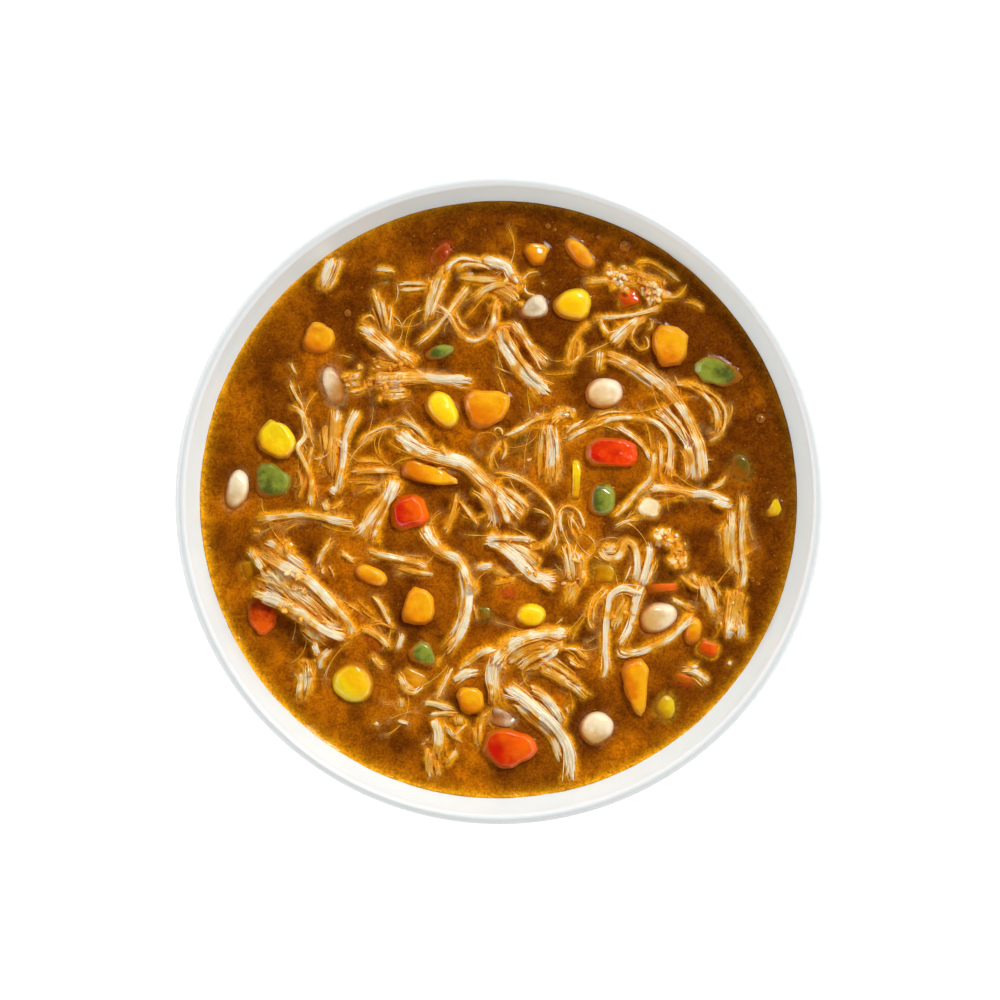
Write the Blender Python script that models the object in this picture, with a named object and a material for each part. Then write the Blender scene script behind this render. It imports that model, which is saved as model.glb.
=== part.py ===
"""Chicken vegetable soup in its plain white bowl.

The bowl stands on its foot ring at the origin. The broth fills it to 10 mm below the rim, and vegetables
and shredded chicken lie in it. Tables give millimetres, in plan from the middle of the bowl.
"""

import math

import bmesh
import bpy
import numpy as np
from mathutils import Euler, Matrix, Vector, geometry, noise

MM = 0.001
GAP = 0.3

# The bowl
RIM_RADIUS = 75.0
RIM_HEIGHT = 58.0
LIP_THICKNESS = 2.6
LIP_ROUND = 1.5
FOOT_OUTER = 32.0
FOOT_INNER = 28.8
FOOT_DEPTH = 3.6
FOOT_TOP = 4.8
FLOOR_HEIGHT = 8.0
FLOOR_RADIUS = 20.0
SEGMENTS = 40
PROFILE_POINTS = 5

# The broth
BROTH_TOP = 48.0
BROTH_RADIUS = 69.7
BROTH_SWELL = 0.35
SWELL_LENGTH = 16.0
EDGE_CLIMB = 0.4
BROTH_RINGS = (12.0, 26.0, 40.0, 54.0, 66.0)

# The pieces in it
PIECE_THICKNESS = 5.0
PIECE_SIDES = 8
CUT_CORNER = 0.24
UNEVEN = 0.05
CORE_TOP = 1.5
CORE_DEPTH = 1.8
SHRED_THICKNESS = 1.1
NARROW_SHRED = 1.65
SHRED_STEP = 6.5
SMALL_SINK = 0.5

# Ring sizes and heights, bottom to top, of a piece that is 1 wide and from -1 to 1 high
ROUND_RINGS = ((0.65, -1.0), (1.0, 0.1), (0.6, 1.0))
CUT_RINGS = ((0.84, -1.0), (1.0, 0.5), (0.78, 1.0))
CORE_RINGS = ((0.8, -1.0), (1.0, 0.0), (0.7, 1.0))
ROOM_RINGS = ((1.0, -1.0), (1.0, 1.0))
SMALL_RINGS = ((1.0, -1.0), (1.0, 0.2), (0.6, 1.0))

COLOURS = {
    "glazed_white": ((0.86, 0.86, 0.84), 0.12),
    "broth": ((0.42, 0.16, 0.02), 0.15),
    "corn": ((0.88, 0.62, 0.04), 0.3),
    "bean": ((0.84, 0.76, 0.6), 0.35),
    "carrot": ((0.86, 0.4, 0.03), 0.3),
    "red_pepper": ((0.66, 0.06, 0.02), 0.25),
    "green_pepper": ((0.26, 0.3, 0.04), 0.25),
    "onion": ((0.68, 0.56, 0.42), 0.3),
    "chicken": ((0.86, 0.68, 0.42), 0.45),
}

# Rounded pieces: finish, middle, length, width, turn, rise above the broth, squareness, taper
ROUNDED = {
    "corn_1": ("corn", (17.0, 45.6), 10.2, 8.2, 180, 2.6, 2.3, 0.3),
    "corn_2": ("corn", (-13.2, 21.0), 11.0, 7.2, -50, 2.8, 2.3, 0.05),
    "corn_4": ("corn", (-34.0, -42.5), 10.8, 10.2, -45, 2.2, 2.4, 0.12),
    "corn_5": ("corn", (7.3, -27.1), 8.2, 6.4, 0, 2.4, 2.4, 0.0),
    "corn_7": ("corn", (39.2, -48.6), 8.4, 6.6, 80, 0.8, 2.0, 0.1),
    "bean_1": ("bean", (-38.8, 26.6), 12.0, 5.8, 103, 1.0, 2.2, 0.0),
    "bean_2": ("bean", (-61.3, 2.3), 11.2, 6.0, 76, 1.8, 2.2, 0.0),
    "bean_3": ("bean", (24.5, 25.0), 9.8, 8.0, 5, 2.2, 2.2, 0.0),
    "bean_4": ("bean", (37.2, -27.6), 10.4, 7.8, 22, 2.2, 2.2, 0.1),
    "bean_5": ("bean", (22.8, -53.6), 9.6, 8.6, 30, 2.0, 2.2, 0.0),
    "carrot_2": ("carrot", (18.8, 57.5), 10.4, 4.6, -46, 2.2, 2.5, 0.0),
    "carrot_6": ("carrot", (-30.1, -17.6), 9.8, 5.0, -24, 1.8, 2.8, 0.0),
    "carrot_10": ("carrot", (45.4, -30.7), 7.4, 4.8, 85, 2.2, 2.5, 0.0),
    "pepper_red_2": ("red_pepper", (-21.2, -2.6), 8.6, 8.2, 10, 2.6, 3.0, 0.0),
    "tomato_2": ("red_pepper", (-13.6, 57.4), 8.4, 5.0, 50, 0.9, 2.2, 0.2),
    "pepper_green_1": ("green_pepper", (-14.0, 34.5), 8.4, 3.8, 18, 1.2, 2.0, 0.0),
    "pepper_green_4": ("green_pepper", (24.0, 0.2), 9.2, 7.6, 80, 2.4, 2.4, 0.1),
    "pepper_green_5": ("green_pepper", (56.8, 7.6), 8.2, 6.2, -60, 0.7, 2.6, 0.1),
}

# Cut pieces: finish, rise above the broth, corners in plan
CUT = {
    "corn_3": ("corn", 2.6, ((-52.2, 19.6), (-57.1, 15.2), (-55.2, 11.2), (-50.2, 9.0), (-46.4, 12.8))),
    "corn_6": ("corn", 0.8, ((65.0, 1.8), (61.9, -4.0), (66.7, -3.6))),
    "onion_1": ("onion", 1.2, ((4.0, 43.2), (8.6, 42.0), (11.2, 43.8), (11.0, 48.0), (6.5, 47.2))),
    "carrot_1": ("carrot", 1.6, ((4.8, 59.6), (9.0, 53.8), (12.8, 60.0))),
    "carrot_3": ("carrot", 2.2, ((-44.8, 41.2), (-46.0, 36.0), (-42.2, 33.6), (-38.0, 36.4), (-39.4, 40.8))),
    "carrot_4": ("carrot", 2.4, ((35.6, 41.0), (36.4, 31.8), (43.8, 31.6), (43.8, 40.0))),
    "carrot_5": ("carrot", 2.6, ((-8.2, 25.2), (-7.4, 19.0), (-3.8, 15.8), (1.8, 19.6), (2.3, 25.4))),
    "carrot_7": ("carrot", 2.6, ((-20.8, -20.2), (-23.2, -27.6), (-18.6, -29.2), (-14.6, -27.8), (-16.2, -21.6))),
    "carrot_8": ("carrot", 2.4, ((-10.4, -44.4), (-8.6, -50.6), (-3.0, -49.6), (-4.2, -43.6))),
    "carrot_9": ("carrot", 2.4, ((28.0, -38.0), (30.0, -46.0), (32.6, -51.0), (34.6, -48.6), (34.8, -37.6))),
    "carrot_11": ("carrot", 2.0, ((-22.4, 9.0), (-22.0, 4.6), (-10.2, 3.5), (-10.0, 5.4), (-18.6, 9.2))),
    "pepper_red_1": ("red_pepper", 2.4, ((20.6, 14.8), (20.4, 8.6), (30.2, 8.0), (32.5, 9.8), (31.4, 14.0))),
    "pepper_red_3": ("red_pepper", 1.4, ((-59.4, -22.8), (-58.2, -28.6), (-55.4, -32.2), (-51.8, -28.2),
                                         (-52.4, -23.4))),
    "tomato_1": ("red_pepper", 2.6, ((-4.0, -55.0), (-3.0, -60.0), (1.6, -63.4), (8.6, -59.6), (7.4, -55.2),
                                     (1.0, -53.4))),
    "pepper_green_2": ("green_pepper", 1.6, ((45.4, 31.2), (48.8, 26.6), (58.4, 27.6), (52.6, 33.0),
                                             (48.6, 33.8))),
    "pepper_green_3": ("green_pepper", 1.3, ((-56.8, 8.6), (-56.2, 0.8), (-51.0, 0.8), (-48.0, 4.6),
                                             (-52.0, 8.2))),
    "pepper_green_6": ("green_pepper", 2.2, ((-22.2, -36.6), (-13.8, -40.0), (-17.2, -32.0))),
    "chicken_cube": ("chicken", 1.4, ((33.7, 1.0), (31.9, -2.5), (37.2, -4.6), (37.8, -0.4))),
}

# Small pieces that are one with the broth: middle, length, width, turn, rise
SMALL_PIECES = (
    ((-57.6, -15.6), 4.6, 4.2, 20, 0.5),
    ((24.6, -17.0), 4.6, 4.0, 0, 0.5),
    ((30.2, 47.4), 4.8, 4.2, 20, 1.0),
    ((38.0, -21.0), 7.0, 2.2, 6, 0.7),
    ((48.8, -34.8), 4.4, 3.4, -20, 1.2),
    ((-28.4, -32.6), 5.0, 4.2, -50, 0.6),
    ((43.4, -42.2), 4.0, 2.6, -15, 0.4),
    ((2.2, -21.6), 3.6, 3.2, 0, 0.6),
    ((-3.6, -26.6), 3.2, 2.6, 0, 0.5),
    ((18.2, 4.4), 8.2, 1.9, 88, 1.0),
    ((0.8, -51.0), 5.8, 3.6, -25, 0.5),
    ((-33.8, 28.6), 6.2, 5.4, 10, 0.8),
    ((38.4, -7.8), 5.8, 2.6, -15, 1.0),
    ((42.0, -14.2), 5.2, 3.0, -20, 1.0),
    ((-20.6, -42.2), 5.2, 4.8, -30, 0.8),
)

# Small shreds that are one with the broth: width, then points in plan
SMALL_SHREDS = (
    (2.2, (-38.9, 55.2), (-40.2, 52.4), (-41.9, 48.8)),
    (1.1, (-29.4, 54.2), (-26.8, 53.9), (-24.0, 53.2)),
    (1.3, (-36.2, 28.6), (-34.0, 28.9), (-31.8, 29.4)),
    (1.8, (-23.4, -40.0), (-22.4, -43.6), (-18.0, -42.8)),
    (1.2, (-22.3, -31.0), (-23.4, -33.4), (-23.8, -35.4)),
    (1.7, (-30.0, -36.0), (-28.6, -38.0), (-26.8, -39.5)),
    (1.1, (-33.0, -30.0), (-28.6, -31.2), (-25.4, -35.6)),
    (1.2, (-30.4, -22.0), (-27.4, -25.2), (-24.4, -30.2)),
    (1.4, (-37.4, -11.6), (-35.4, -13.2), (-33.4, -14.6)),
    (1.5, (42.6, -39.8), (46.0, -40.2), (49.4, -42.8)),
    (1.7, (23.7, 35.2), (23.5, 32.6), (23.0, 29.8)),
    (1.6, (-2.0, -16.0), (0.4, -16.8), (2.8, -18.2)),
    (1.0, (40.0, -23.2), (43.0, -23.6), (46.0, -26.0)),
)

# Bodies of the chicken bundles: middle, length, width, turn
CORES = {
    "chicken_01": (((-25.2, 29.9), 9.6, 9.4, 3),),
    "chicken_02": (((1.6, 49.2), 8.4, 6.0, -35),),
    "chicken_03": (((2.4, 36.4), 11.0, 3.4, -60), ((8.2, 36.0), 7.0, 2.4, -50)),
    "chicken_04": (((36.0, 48.6), 4.6, 7.0, 3), ((29.8, 52.0), 6.0, 2.6, 10)),
    "chicken_05": (((45.4, 9.4), 4.0, 9.0, 3),),
    "chicken_06": (((38.0, 8.8), 3.0, 7.6, 3),),
    "chicken_08": (((11.8, 11.6), 3.4, 11.0, 4),),
    "chicken_09": (((-2.6, 3.8), 12.0, 4.4, -42), ((-20.2, 14.4), 9.0, 4.0, -36)),
    "chicken_10": (((-38.9, 12.6), 2.8, 10.0, -2),),
    "chicken_12": (((-26.4, 5.4), 4.2, 6.4, 3),),
    "chicken_13": (((-46.6, -19.6), 21.0, 8.0, -42), ((-46.4, -24.4), 12.0, 4.4, -30)),
    "chicken_14": (((-43.6, -38.4), 4.4, 4.0, 3),),
    "chicken_15": (((-8.2, -20.6), 2.8, 11.0, 2),),
    "chicken_16": (((6.6, -14.4), 12.0, 4.6, -38), ((17.2, -15.4), 5.4, 7.0, 3)),
    "chicken_17": (((5.6, -34.8), 12.0, 4.6, 14),),
    "chicken_18": (((9.6, -49.8), 13.0, 4.4, -47),),
    "chicken_19": (((-14.9, -55.4), 3.2, 9.0, 2),),
    "chicken_20": (((26.0, -12.0), 4.6, 2.8, -10), ((30.4, -25.4), 2.8, 8.0, -20)),
    "chicken_21": (((55.0, -27.2), 4.6, 9.4, 2),),
    "chicken_22": (((48.6, -23.4), 2.8, 7.0, 12),),
}

# Shreds of each bundle: width, then points in plan
SHREDS = {
    "chicken_01": (
        (1.3, (-29.8, 49.3), (-27.9, 44.5), (-26.5, 38.0)),
        (1.3, (-27.7, 47.4), (-26.8, 43.0), (-26.2, 37.4)),
        (2.4, (-33.0, 40.3), (-28.4, 37.4), (-23.8, 34.0), (-19.4, 30.8)),
        (2.7, (-29.6, 28.3), (-17.0, 28.5), (-6.4, 28.0)),
        (1.8, (-29.4, 26.9), (-25.0, 26.4), (-21.0, 26.7)),
        (2.0, (-29.2, 32.2), (-25.5, 30.8), (-21.8, 31.4)),
    ),
    "chicken_02": (
        (0.9, (-13.4, 52.8), (-9.0, 56.4), (-4.0, 55.5), (1.6, 53.4)),
        (2.0, (-4.0, 56.4), (0.0, 55.2), (2.6, 53.0), (4.4, 50.4)),
        (1.2, (-10.0, 52.2), (-4.0, 51.5), (1.0, 51.2)),
        (1.6, (-6.0, 46.6), (-2.5, 49.0), (2.0, 50.0)),
        (1.1, (-14.4, 45.8), (-10.0, 41.0), (-6.0, 37.4), (-2.2, 39.6), (-0.9, 47.4)),
        (0.8, (-1.0, 51.4), (-6.5, 50.2), (-11.0, 45.0), (-15.0, 40.0), (-19.8, 35.9)),
        (1.4, (0.0, 48.6), (-1.4, 42.5), (-2.4, 38.4)),
        (1.6, (-12.6, 54.2), (-15.4, 48.5), (-17.6, 41.6)),
        (1.2, (-11.8, 53.6), (-14.2, 47.5), (-16.4, 41.5)),
        (1.3, (-24.0, 50.3), (-20.0, 50.4), (-14.6, 50.0)),
        (0.6, (2.6, 50.6), (6.4, 52.8), (9.8, 53.4)),
        (0.6, (2.4, 51.0), (6.0, 48.7), (8.8, 48.5)),
    ),
    "chicken_03": (
        (2.8, (-1.0, 40.3), (2.4, 34.0), (7.0, 28.6), (12.2, 24.4)),
        (1.3, (0.9, 40.4), (4.5, 33.4), (10.2, 26.8)),
        (1.8, (3.0, 41.0), (6.4, 37.2), (12.0, 31.8)),
        (1.0, (5.6, 37.4), (8.0, 33.8), (10.2, 30.2)),
        (1.8, (-0.8, 40.0), (1.4, 40.4), (4.0, 39.8)),
    ),
    "chicken_04": (
        (1.6, (23.0, 50.8), (28.0, 52.0), (33.0, 53.2)),
        (1.6, (27.8, 50.9), (31.0, 50.8), (35.6, 50.4)),
        (1.5, (36.4, 52.6), (36.4, 48.6), (35.4, 43.2)),
        (1.0, (21.6, 42.7), (30.0, 42.9), (37.6, 45.3)),
        (2.6, (26.6, 35.6), (29.6, 39.4), (34.4, 43.8)),
        (1.2, (25.8, 37.4), (28.4, 40.6), (32.0, 43.2)),
        (0.9, (33.8, 43.0), (30.9, 38.8), (32.6, 35.3), (34.5, 36.4), (33.2, 38.6)),
        (0.6, (37.0, 47.8), (41.0, 47.6), (44.2, 51.0)),
        (0.9, (31.0, 53.0), (35.6, 55.6), (41.5, 51.8)),
        (0.9, (24.0, 43.0), (17.4, 36.8), (15.7, 30.8)),
        (0.9, (15.5, 31.0), (18.6, 33.4), (20.0, 37.6)),
        (0.8, (23.2, 43.6), (24.4, 40.2), (27.2, 37.2)),
    ),
    "chicken_05": (
        (1.8, (25.0, 34.4), (33.0, 30.0), (40.0, 25.0), (45.0, 17.6), (47.2, 9.5), (47.6, 5.0)),
        (1.2, (36.2, 21.6), (41.0, 17.2), (44.2, 12.0), (45.4, 5.0)),
        (1.2, (38.0, 22.6), (43.2, 16.4), (46.2, 9.6)),
        (2.4, (44.8, 13.6), (45.2, 8.6), (45.0, 4.2)),
    ),
    "chicken_06": (
        (1.3, (15.0, 13.8), (21.0, 17.2), (28.0, 19.0), (36.0, 18.5), (39.4, 14.0), (39.0, 5.0)),
        (1.0, (14.6, 15.2), (17.0, 17.0), (20.4, 18.2), (23.0, 18.0)),
        (1.2, (27.4, 18.4), (32.6, 15.0), (36.8, 10.8)),
        (1.0, (37.0, 12.0), (36.6, 6.6), (32.6, 2.4), (28.4, -2.6), (26.4, -5.6)),
        (0.9, (37.8, 13.0), (37.4, 4.8)),
        (0.8, (33.6, -5.6), (30.0, -5.2), (26.4, -4.6)),
    ),
    "chicken_07": (
        (0.9, (41.0, 27.4), (46.4, 26.2), (50.2, 21.4), (50.4, 14.8)),
        (0.9, (43.4, 27.0), (50.6, 24.4), (53.0, 20.4), (51.6, 15.6), (48.4, 13.4)),
    ),
    "chicken_08": (
        (1.0, (10.8, 18.4), (10.0, 12.0), (9.8, 5.0)),
        (1.7, (11.6, 18.2), (12.2, 11.0), (11.6, 3.8)),
        (0.9, (12.6, 18.0), (13.4, 10.6), (13.2, 2.8)),
        (0.9, (0.6, 14.6), (5.4, 17.2), (12.8, 20.0)),
        (0.9, (1.0, 15.2), (-1.8, 10.6), (-2.0, 7.6)),
        (0.7, (0.8, 15.0), (1.6, 11.8), (0.4, 9.4)),
        (1.6, (11.2, 17.4), (13.6, 20.0), (16.8, 19.4)),
    ),
    "chicken_09": (
        (2.8, (-24.0, 15.6), (-19.0, 12.0), (-12.0, 9.6), (-5.6, 5.8), (0.4, 0.8), (5.6, -4.0)),
        (1.2, (-24.0, 18.8), (-20.4, 16.6), (-16.2, 11.6)),
        (2.4, (-4.2, 3.6), (-2.0, -1.0), (-1.2, -6.4)),
        (1.4, (-0.8, 1.2), (1.2, -3.0), (2.6, -6.0)),
        (1.8, (0.4, 2.8), (4.2, 0.4), (7.2, -2.0)),
        (1.0, (-4.0, 5.4), (2.8, 5.9), (9.6, 1.6), (12.2, -3.6), (10.6, -7.4)),
    ),
    "chicken_10": (
        (2.0, (-38.0, 19.6), (-38.8, 14.0), (-39.2, 9.0), (-39.0, 4.6)),
        (1.6, (-33.0, 21.2), (-35.8, 16.0), (-37.2, 9.6), (-38.6, 1.6)),
        (1.6, (-40.4, 17.6), (-40.6, 13.0), (-39.6, 9.0)),
        (0.7, (-36.8, 3.2), (-37.4, -1.0), (-40.8, -1.4)),
        (1.4, (-38.4, 2.6), (-40.0, 0.4), (-40.9, -1.6)),
    ),
    "chicken_11": (
        (0.9, (-49.0, 30.6), (-46.8, 23.6), (-45.2, 17.6), (-45.2, 11.6), (-44.4, 7.0)),
        (0.9, (-49.2, 22.4), (-46.6, 21.6), (-45.6, 18.6)),
        (1.4, (-43.6, 13.0), (-44.4, 7.6), (-44.0, -1.2)),
        (1.4, (-44.4, 9.4), (-45.6, 4.0), (-46.8, 0.0)),
    ),
    "chicken_12": (
        (1.2, (-26.4, 5.0), (-28.8, 0.0), (-34.0, -8.2)),
        (1.2, (-26.0, 4.6), (-28.0, -1.6), (-32.2, -8.8)),
        (1.2, (-25.6, 4.4), (-27.2, -2.6), (-30.6, -10.0)),
        (1.2, (-35.0, 6.8), (-30.0, 7.0), (-24.4, 6.6)),
        (0.9, (-34.0, 9.3), (-29.0, 8.6), (-26.0, 7.2)),
        (0.9, (-34.6, 3.6), (-30.0, 3.4), (-25.8, 4.6)),
    ),
    "chicken_13": (
        (1.5, (-57.0, -4.4), (-50.0, -3.6), (-42.0, -4.2), (-34.6, -5.4)),
        (1.2, (-49.8, -4.0), (-49.4, -8.0), (-50.4, -13.0)),
        (1.8, (-55.0, -9.6), (-49.6, -13.0), (-43.6, -17.4)),
        (1.6, (-57.4, -12.0), (-55.6, -13.6), (-52.6, -15.0)),
        (2.0, (-53.0, -13.8), (-46.4, -17.6), (-40.0, -23.0), (-35.6, -28.2), (-34.8, -32.2)),
        (2.2, (-57.6, -21.4), (-52.0, -22.4), (-45.0, -26.0), (-36.4, -32.8)),
        (1.3, (-38.8, -8.4), (-41.8, -12.8), (-43.6, -17.8)),
    ),
    "chicken_14": (
        (1.5, (-45.8, -29.0), (-44.0, -33.4), (-43.2, -38.0)),
        (1.4, (-45.4, -30.0), (-43.0, -31.6), (-40.4, -32.2)),
        (1.4, (-39.2, -34.4), (-41.2, -36.6), (-42.4, -40.2)),
        (1.8, (-44.8, -37.0), (-45.0, -42.0), (-46.0, -47.0)),
    ),
    "chicken_15": (
        (2.2, (-16.4, -7.6), (-12.6, -12.0), (-8.8, -15.6), (-7.2, -21.4), (-8.2, -28.0), (-12.2, -35.4)),
        (1.4, (-31.6, -11.4), (-24.0, -13.5), (-16.0, -15.6), (-8.6, -17.0)),
        (1.0, (-9.4, 2.2), (-10.6, -3.0), (-14.2, -10.2)),
        (0.8, (-9.4, 1.0), (-7.0, -3.0), (-4.4, -6.8)),
        (1.2, (-8.0, -17.6), (-6.2, -20.0), (-5.2, -21.8)),
        (1.6, (-9.6, -15.0), (-8.8, -21.0), (-9.6, -27.0)),
    ),
    "chicken_16": (
        (2.6, (-3.4, -8.8), (2.4, -11.6), (8.0, -16.0), (17.4, -17.4)),
        (1.6, (-1.0, -9.2), (4.0, -10.4), (8.4, -12.0)),
        (1.1, (15.2, -10.4), (14.2, -4.6), (16.2, -1.6), (19.2, -3.6), (20.2, -7.4)),
        (1.4, (14.6, -4.6), (15.6, -8.6), (17.4, -13.0)),
        (2.4, (15.6, -12.0), (17.6, -16.0), (18.8, -20.4)),
        (2.0, (18.6, -12.8), (18.2, -18.0), (16.0, -23.0)),
        (1.2, (9.4, -17.4), (11.4, -19.8), (13.0, -21.6)),
    ),
    "chicken_17": (
        (2.2, (16.0, -31.4), (9.0, -32.0), (2.4, -34.0), (-0.8, -37.6)),
        (3.0, (13.6, -33.4), (6.0, -35.0), (0.2, -38.2)),
        (1.8, (0.0, -36.6), (-1.4, -42.0), (-1.4, -48.0)),
        (1.2, (13.6, -34.8), (10.0, -37.4), (6.0, -40.2)),
        (1.2, (3.4, -35.4), (-4.0, -36.4), (-9.4, -40.4)),
        (2.0, (-11.0, -42.4), (-7.0, -40.6), (-1.0, -40.2)),
        (2.0, (9.0, -37.0), (14.0, -41.4), (20.4, -46.8)),
        (1.2, (12.6, -34.4), (17.8, -35.2), (21.6, -36.8)),
        (1.2, (11.0, -37.0), (16.6, -38.2), (20.2, -39.6)),
    ),
    "chicken_18": (
        (2.6, (1.4, -43.6), (8.0, -48.6), (13.6, -54.4), (16.0, -60.0), (16.8, -65.0)),
        (2.2, (6.6, -44.4), (11.2, -47.6), (15.2, -53.6), (15.8, -57.6)),
        (1.6, (4.2, -47.0), (9.4, -52.0), (13.6, -57.6), (14.8, -62.0)),
    ),
    "chicken_19": (
        (1.3, (-18.2, -47.8), (-14.0, -49.4), (-9.6, -50.0)),
        (1.8, (-14.6, -49.0), (-14.0, -55.0), (-14.6, -61.0)),
        (2.0, (-15.6, -53.0), (-15.8, -59.0), (-16.3, -64.6)),
        (1.0, (-13.4, -51.6), (-11.0, -55.0), (-7.8, -57.2)),
        (0.9, (-7.4, -52.0), (-10.0, -54.4), (-13.6, -55.0)),
        (1.4, (-9.6, -58.0), (-12.0, -60.4), (-14.6, -61.2)),
        (1.0, (-12.0, -40.8), (-13.8, -45.0), (-16.0, -49.0)),
        (1.0, (-7.6, -52.2), (-5.6, -55.0), (-5.2, -58.2)),
    ),
    "chicken_20": (
        (1.4, (23.2, -11.6), (26.6, -12.6), (30.0, -9.9), (32.3, -14.0), (32.6, -20.6)),
        (1.3, (34.4, -9.8), (35.2, -13.0), (33.2, -21.0)),
        (1.0, (36.8, -13.0), (35.6, -17.0), (33.2, -22.0)),
        (1.6, (32.6, -19.6), (31.0, -26.4), (28.2, -34.6)),
        (1.3, (28.0, -34.4), (33.0, -35.6), (39.6, -33.0), (42.2, -30.4)),
        (1.2, (33.0, -21.6), (28.4, -20.6), (25.4, -25.0), (24.8, -33.0), (24.8, -41.6)),
        (1.8, (30.6, -22.6), (28.8, -27.0), (26.2, -31.4)),
        (0.7, (25.6, -21.6), (21.2, -26.0), (24.6, -32.6)),
    ),
    "chicken_21": (
        (1.8, (35.6, 3.2), (42.0, 2.2), (49.0, 1.2), (55.2, -1.6)),
        (1.0, (49.4, 1.4), (51.8, 3.6), (53.0, 5.4)),
        (1.5, (54.8, -0.6), (54.6, -9.0), (55.4, -16.0), (56.0, -24.0)),
        (1.4, (57.0, 1.6), (56.2, -6.0), (56.8, -15.0), (56.2, -23.0)),
        (2.4, (54.2, -22.6), (53.8, -27.0), (53.8, -32.2)),
        (2.4, (56.2, -21.0), (56.2, -27.0), (56.4, -32.4)),
    ),
    "chicken_22": (
        (2.0, (47.4, -18.2), (48.8, -22.6), (49.2, -28.0)),
        (1.2, (45.4, -17.2), (47.0, -20.4), (48.2, -24.6)),
        (1.0, (42.2, -17.6), (45.6, -18.8), (48.0, -21.6)),
    ),
}

CELL = 0.5
MAP_HALF = 76.0


def clear_scene():
    for old in list(bpy.data.objects):
        bpy.data.objects.remove(old)


def make_materials():
    made = {}
    for name, (colour, roughness) in COLOURS.items():
        material = bpy.data.materials.new(name)
        material.use_nodes = True
        shader = material.node_tree.nodes["Principled BSDF"]
        shader.inputs["Base Color"].default_value = (*colour, 1.0)
        shader.inputs["Roughness"].default_value = roughness
        shader.inputs["Metallic"].default_value = 0.0
        made[name] = material
    return made


def add_object(name, points, faces, material, place=Matrix()):
    """A mesh object from points in millimetres about its own origin, set at a place in millimetres."""
    mesh = bpy.data.meshes.new(name)
    mesh.from_pydata([point * MM for point in points], [], faces)
    shape = bmesh.new()
    shape.from_mesh(mesh)
    bmesh.ops.recalc_face_normals(shape, faces=shape.faces)
    shape.to_mesh(mesh)
    shape.free()
    mesh.materials.append(material)
    made = bpy.data.objects.new(name, mesh)
    made.rotation_euler = place.to_euler()
    made.location = place.translation * MM
    bpy.context.scene.collection.objects.link(made)
    bpy.context.view_layer.update()
    return made


def curve_points(start, lean_out, lean_in, end, count):
    """Points along one curved stretch of a profile, each a radius and a height."""
    ends = [Vector((radius, height, 0.0)) for radius, height in (start, lean_out, lean_in, end)]
    return [(point.x, point.y) for point in geometry.interpolate_bezier(*ends, count)]


def inner_profile(count):
    """The inside of the bowl, from the middle of its floor to the broth's edge."""
    start = (FLOOR_RADIUS, FLOOR_HEIGHT)
    return [(0.0, FLOOR_HEIGHT)] + curve_points(start, (50.0, 9.0), (64.0, 26.0), (BROTH_RADIUS, BROTH_TOP), count)


def turned(name, profile, segments, material):
    """A solid turned about the upright axis from a profile that starts and ends on it."""
    points = []
    rings = []
    for radius, height in profile:
        count = segments if radius > 0 else 1
        rings.append(range(len(points), len(points) + count))
        for step in range(count):
            turn = math.tau * step / segments
            points.append(Vector((radius * math.cos(turn), radius * math.sin(turn), height)))
    faces = []
    for low, high in zip(rings, rings[1:]):
        for step in range(segments):
            after = (step + 1) % segments
            corners = [low[step % len(low)], low[after % len(low)], high[after % len(high)], high[step % len(high)]]
            faces.append(list(dict.fromkeys(corners)))
    return add_object(name, points, faces, material)


def make_bowl(material):
    lip_middle = RIM_RADIUS - LIP_THICKNESS / 2
    lip_low = RIM_HEIGHT - LIP_ROUND
    foot = [(0.0, FOOT_DEPTH), (FOOT_INNER - 0.6, FOOT_DEPTH), (FOOT_INNER, 0.0), (FOOT_OUTER, 0.0)]
    outside = curve_points((FOOT_OUTER + 0.4, FOOT_TOP), (56.0, 8.0), (69.5, 26.0), (RIM_RADIUS, lip_low), PROFILE_POINTS)
    lip = [(RIM_RADIUS - 0.6, RIM_HEIGHT - 0.4), (lip_middle, RIM_HEIGHT), (RIM_RADIUS - LIP_THICKNESS, lip_low)]
    bowl = turned("bowl", foot + outside + lip + inner_profile(PROFILE_POINTS)[::-1], SEGMENTS, material)
    bowl.data.shade_smooth()
    bowl.data.set_sharp_from_angle(angle=math.radians(40))
    return bowl


def broth_height(x, y):
    """The broth's gently uneven top, which climbs a little where it wets the bowl."""
    swell = noise.noise(Vector((x / SWELL_LENGTH, y / SWELL_LENGTH, 0.0)))
    climb = max(0.0, (math.hypot(x, y) - BROTH_RINGS[-1]) / (BROTH_RADIUS - BROTH_RINGS[-1]))
    return BROTH_TOP + BROTH_SWELL * swell * (1.0 - climb) + EDGE_CLIMB * climb


def make_broth(material):
    edge = BROTH_RADIUS - 1.2 * GAP
    below = [(max(0.0, radius - 1.2 * GAP), height + GAP) for radius, height in inner_profile(PROFILE_POINTS)[:-1]]
    profile = below + [(edge, BROTH_TOP)] + [(radius, BROTH_TOP) for radius in BROTH_RINGS[::-1]] + [(0.0, BROTH_TOP)]
    broth = turned("broth", profile, SEGMENTS, material)
    for vertex in broth.data.vertices:
        if vertex.co.z > (BROTH_TOP - 0.01) * MM:
            vertex.co.z = broth_height(vertex.co.x / MM, vertex.co.y / MM) * MM
    return broth


def oval(length, width, square=2.2, taper=0.0, count=PIECE_SIDES):
    """A rounded outline: square 2 is an ellipse and more is boxier, and taper narrows its +X end."""
    outline = []
    for step in range(count):
        turn = math.tau * (step + 0.5) / count
        along = math.copysign(abs(math.cos(turn)) ** (2.0 / square), math.cos(turn))
        across = math.copysign(abs(math.sin(turn)) ** (2.0 / square), math.sin(turn))
        outline.append(Vector((along * length / 2, across * (1.0 - taper * along) * width / 2)))
    return outline


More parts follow.
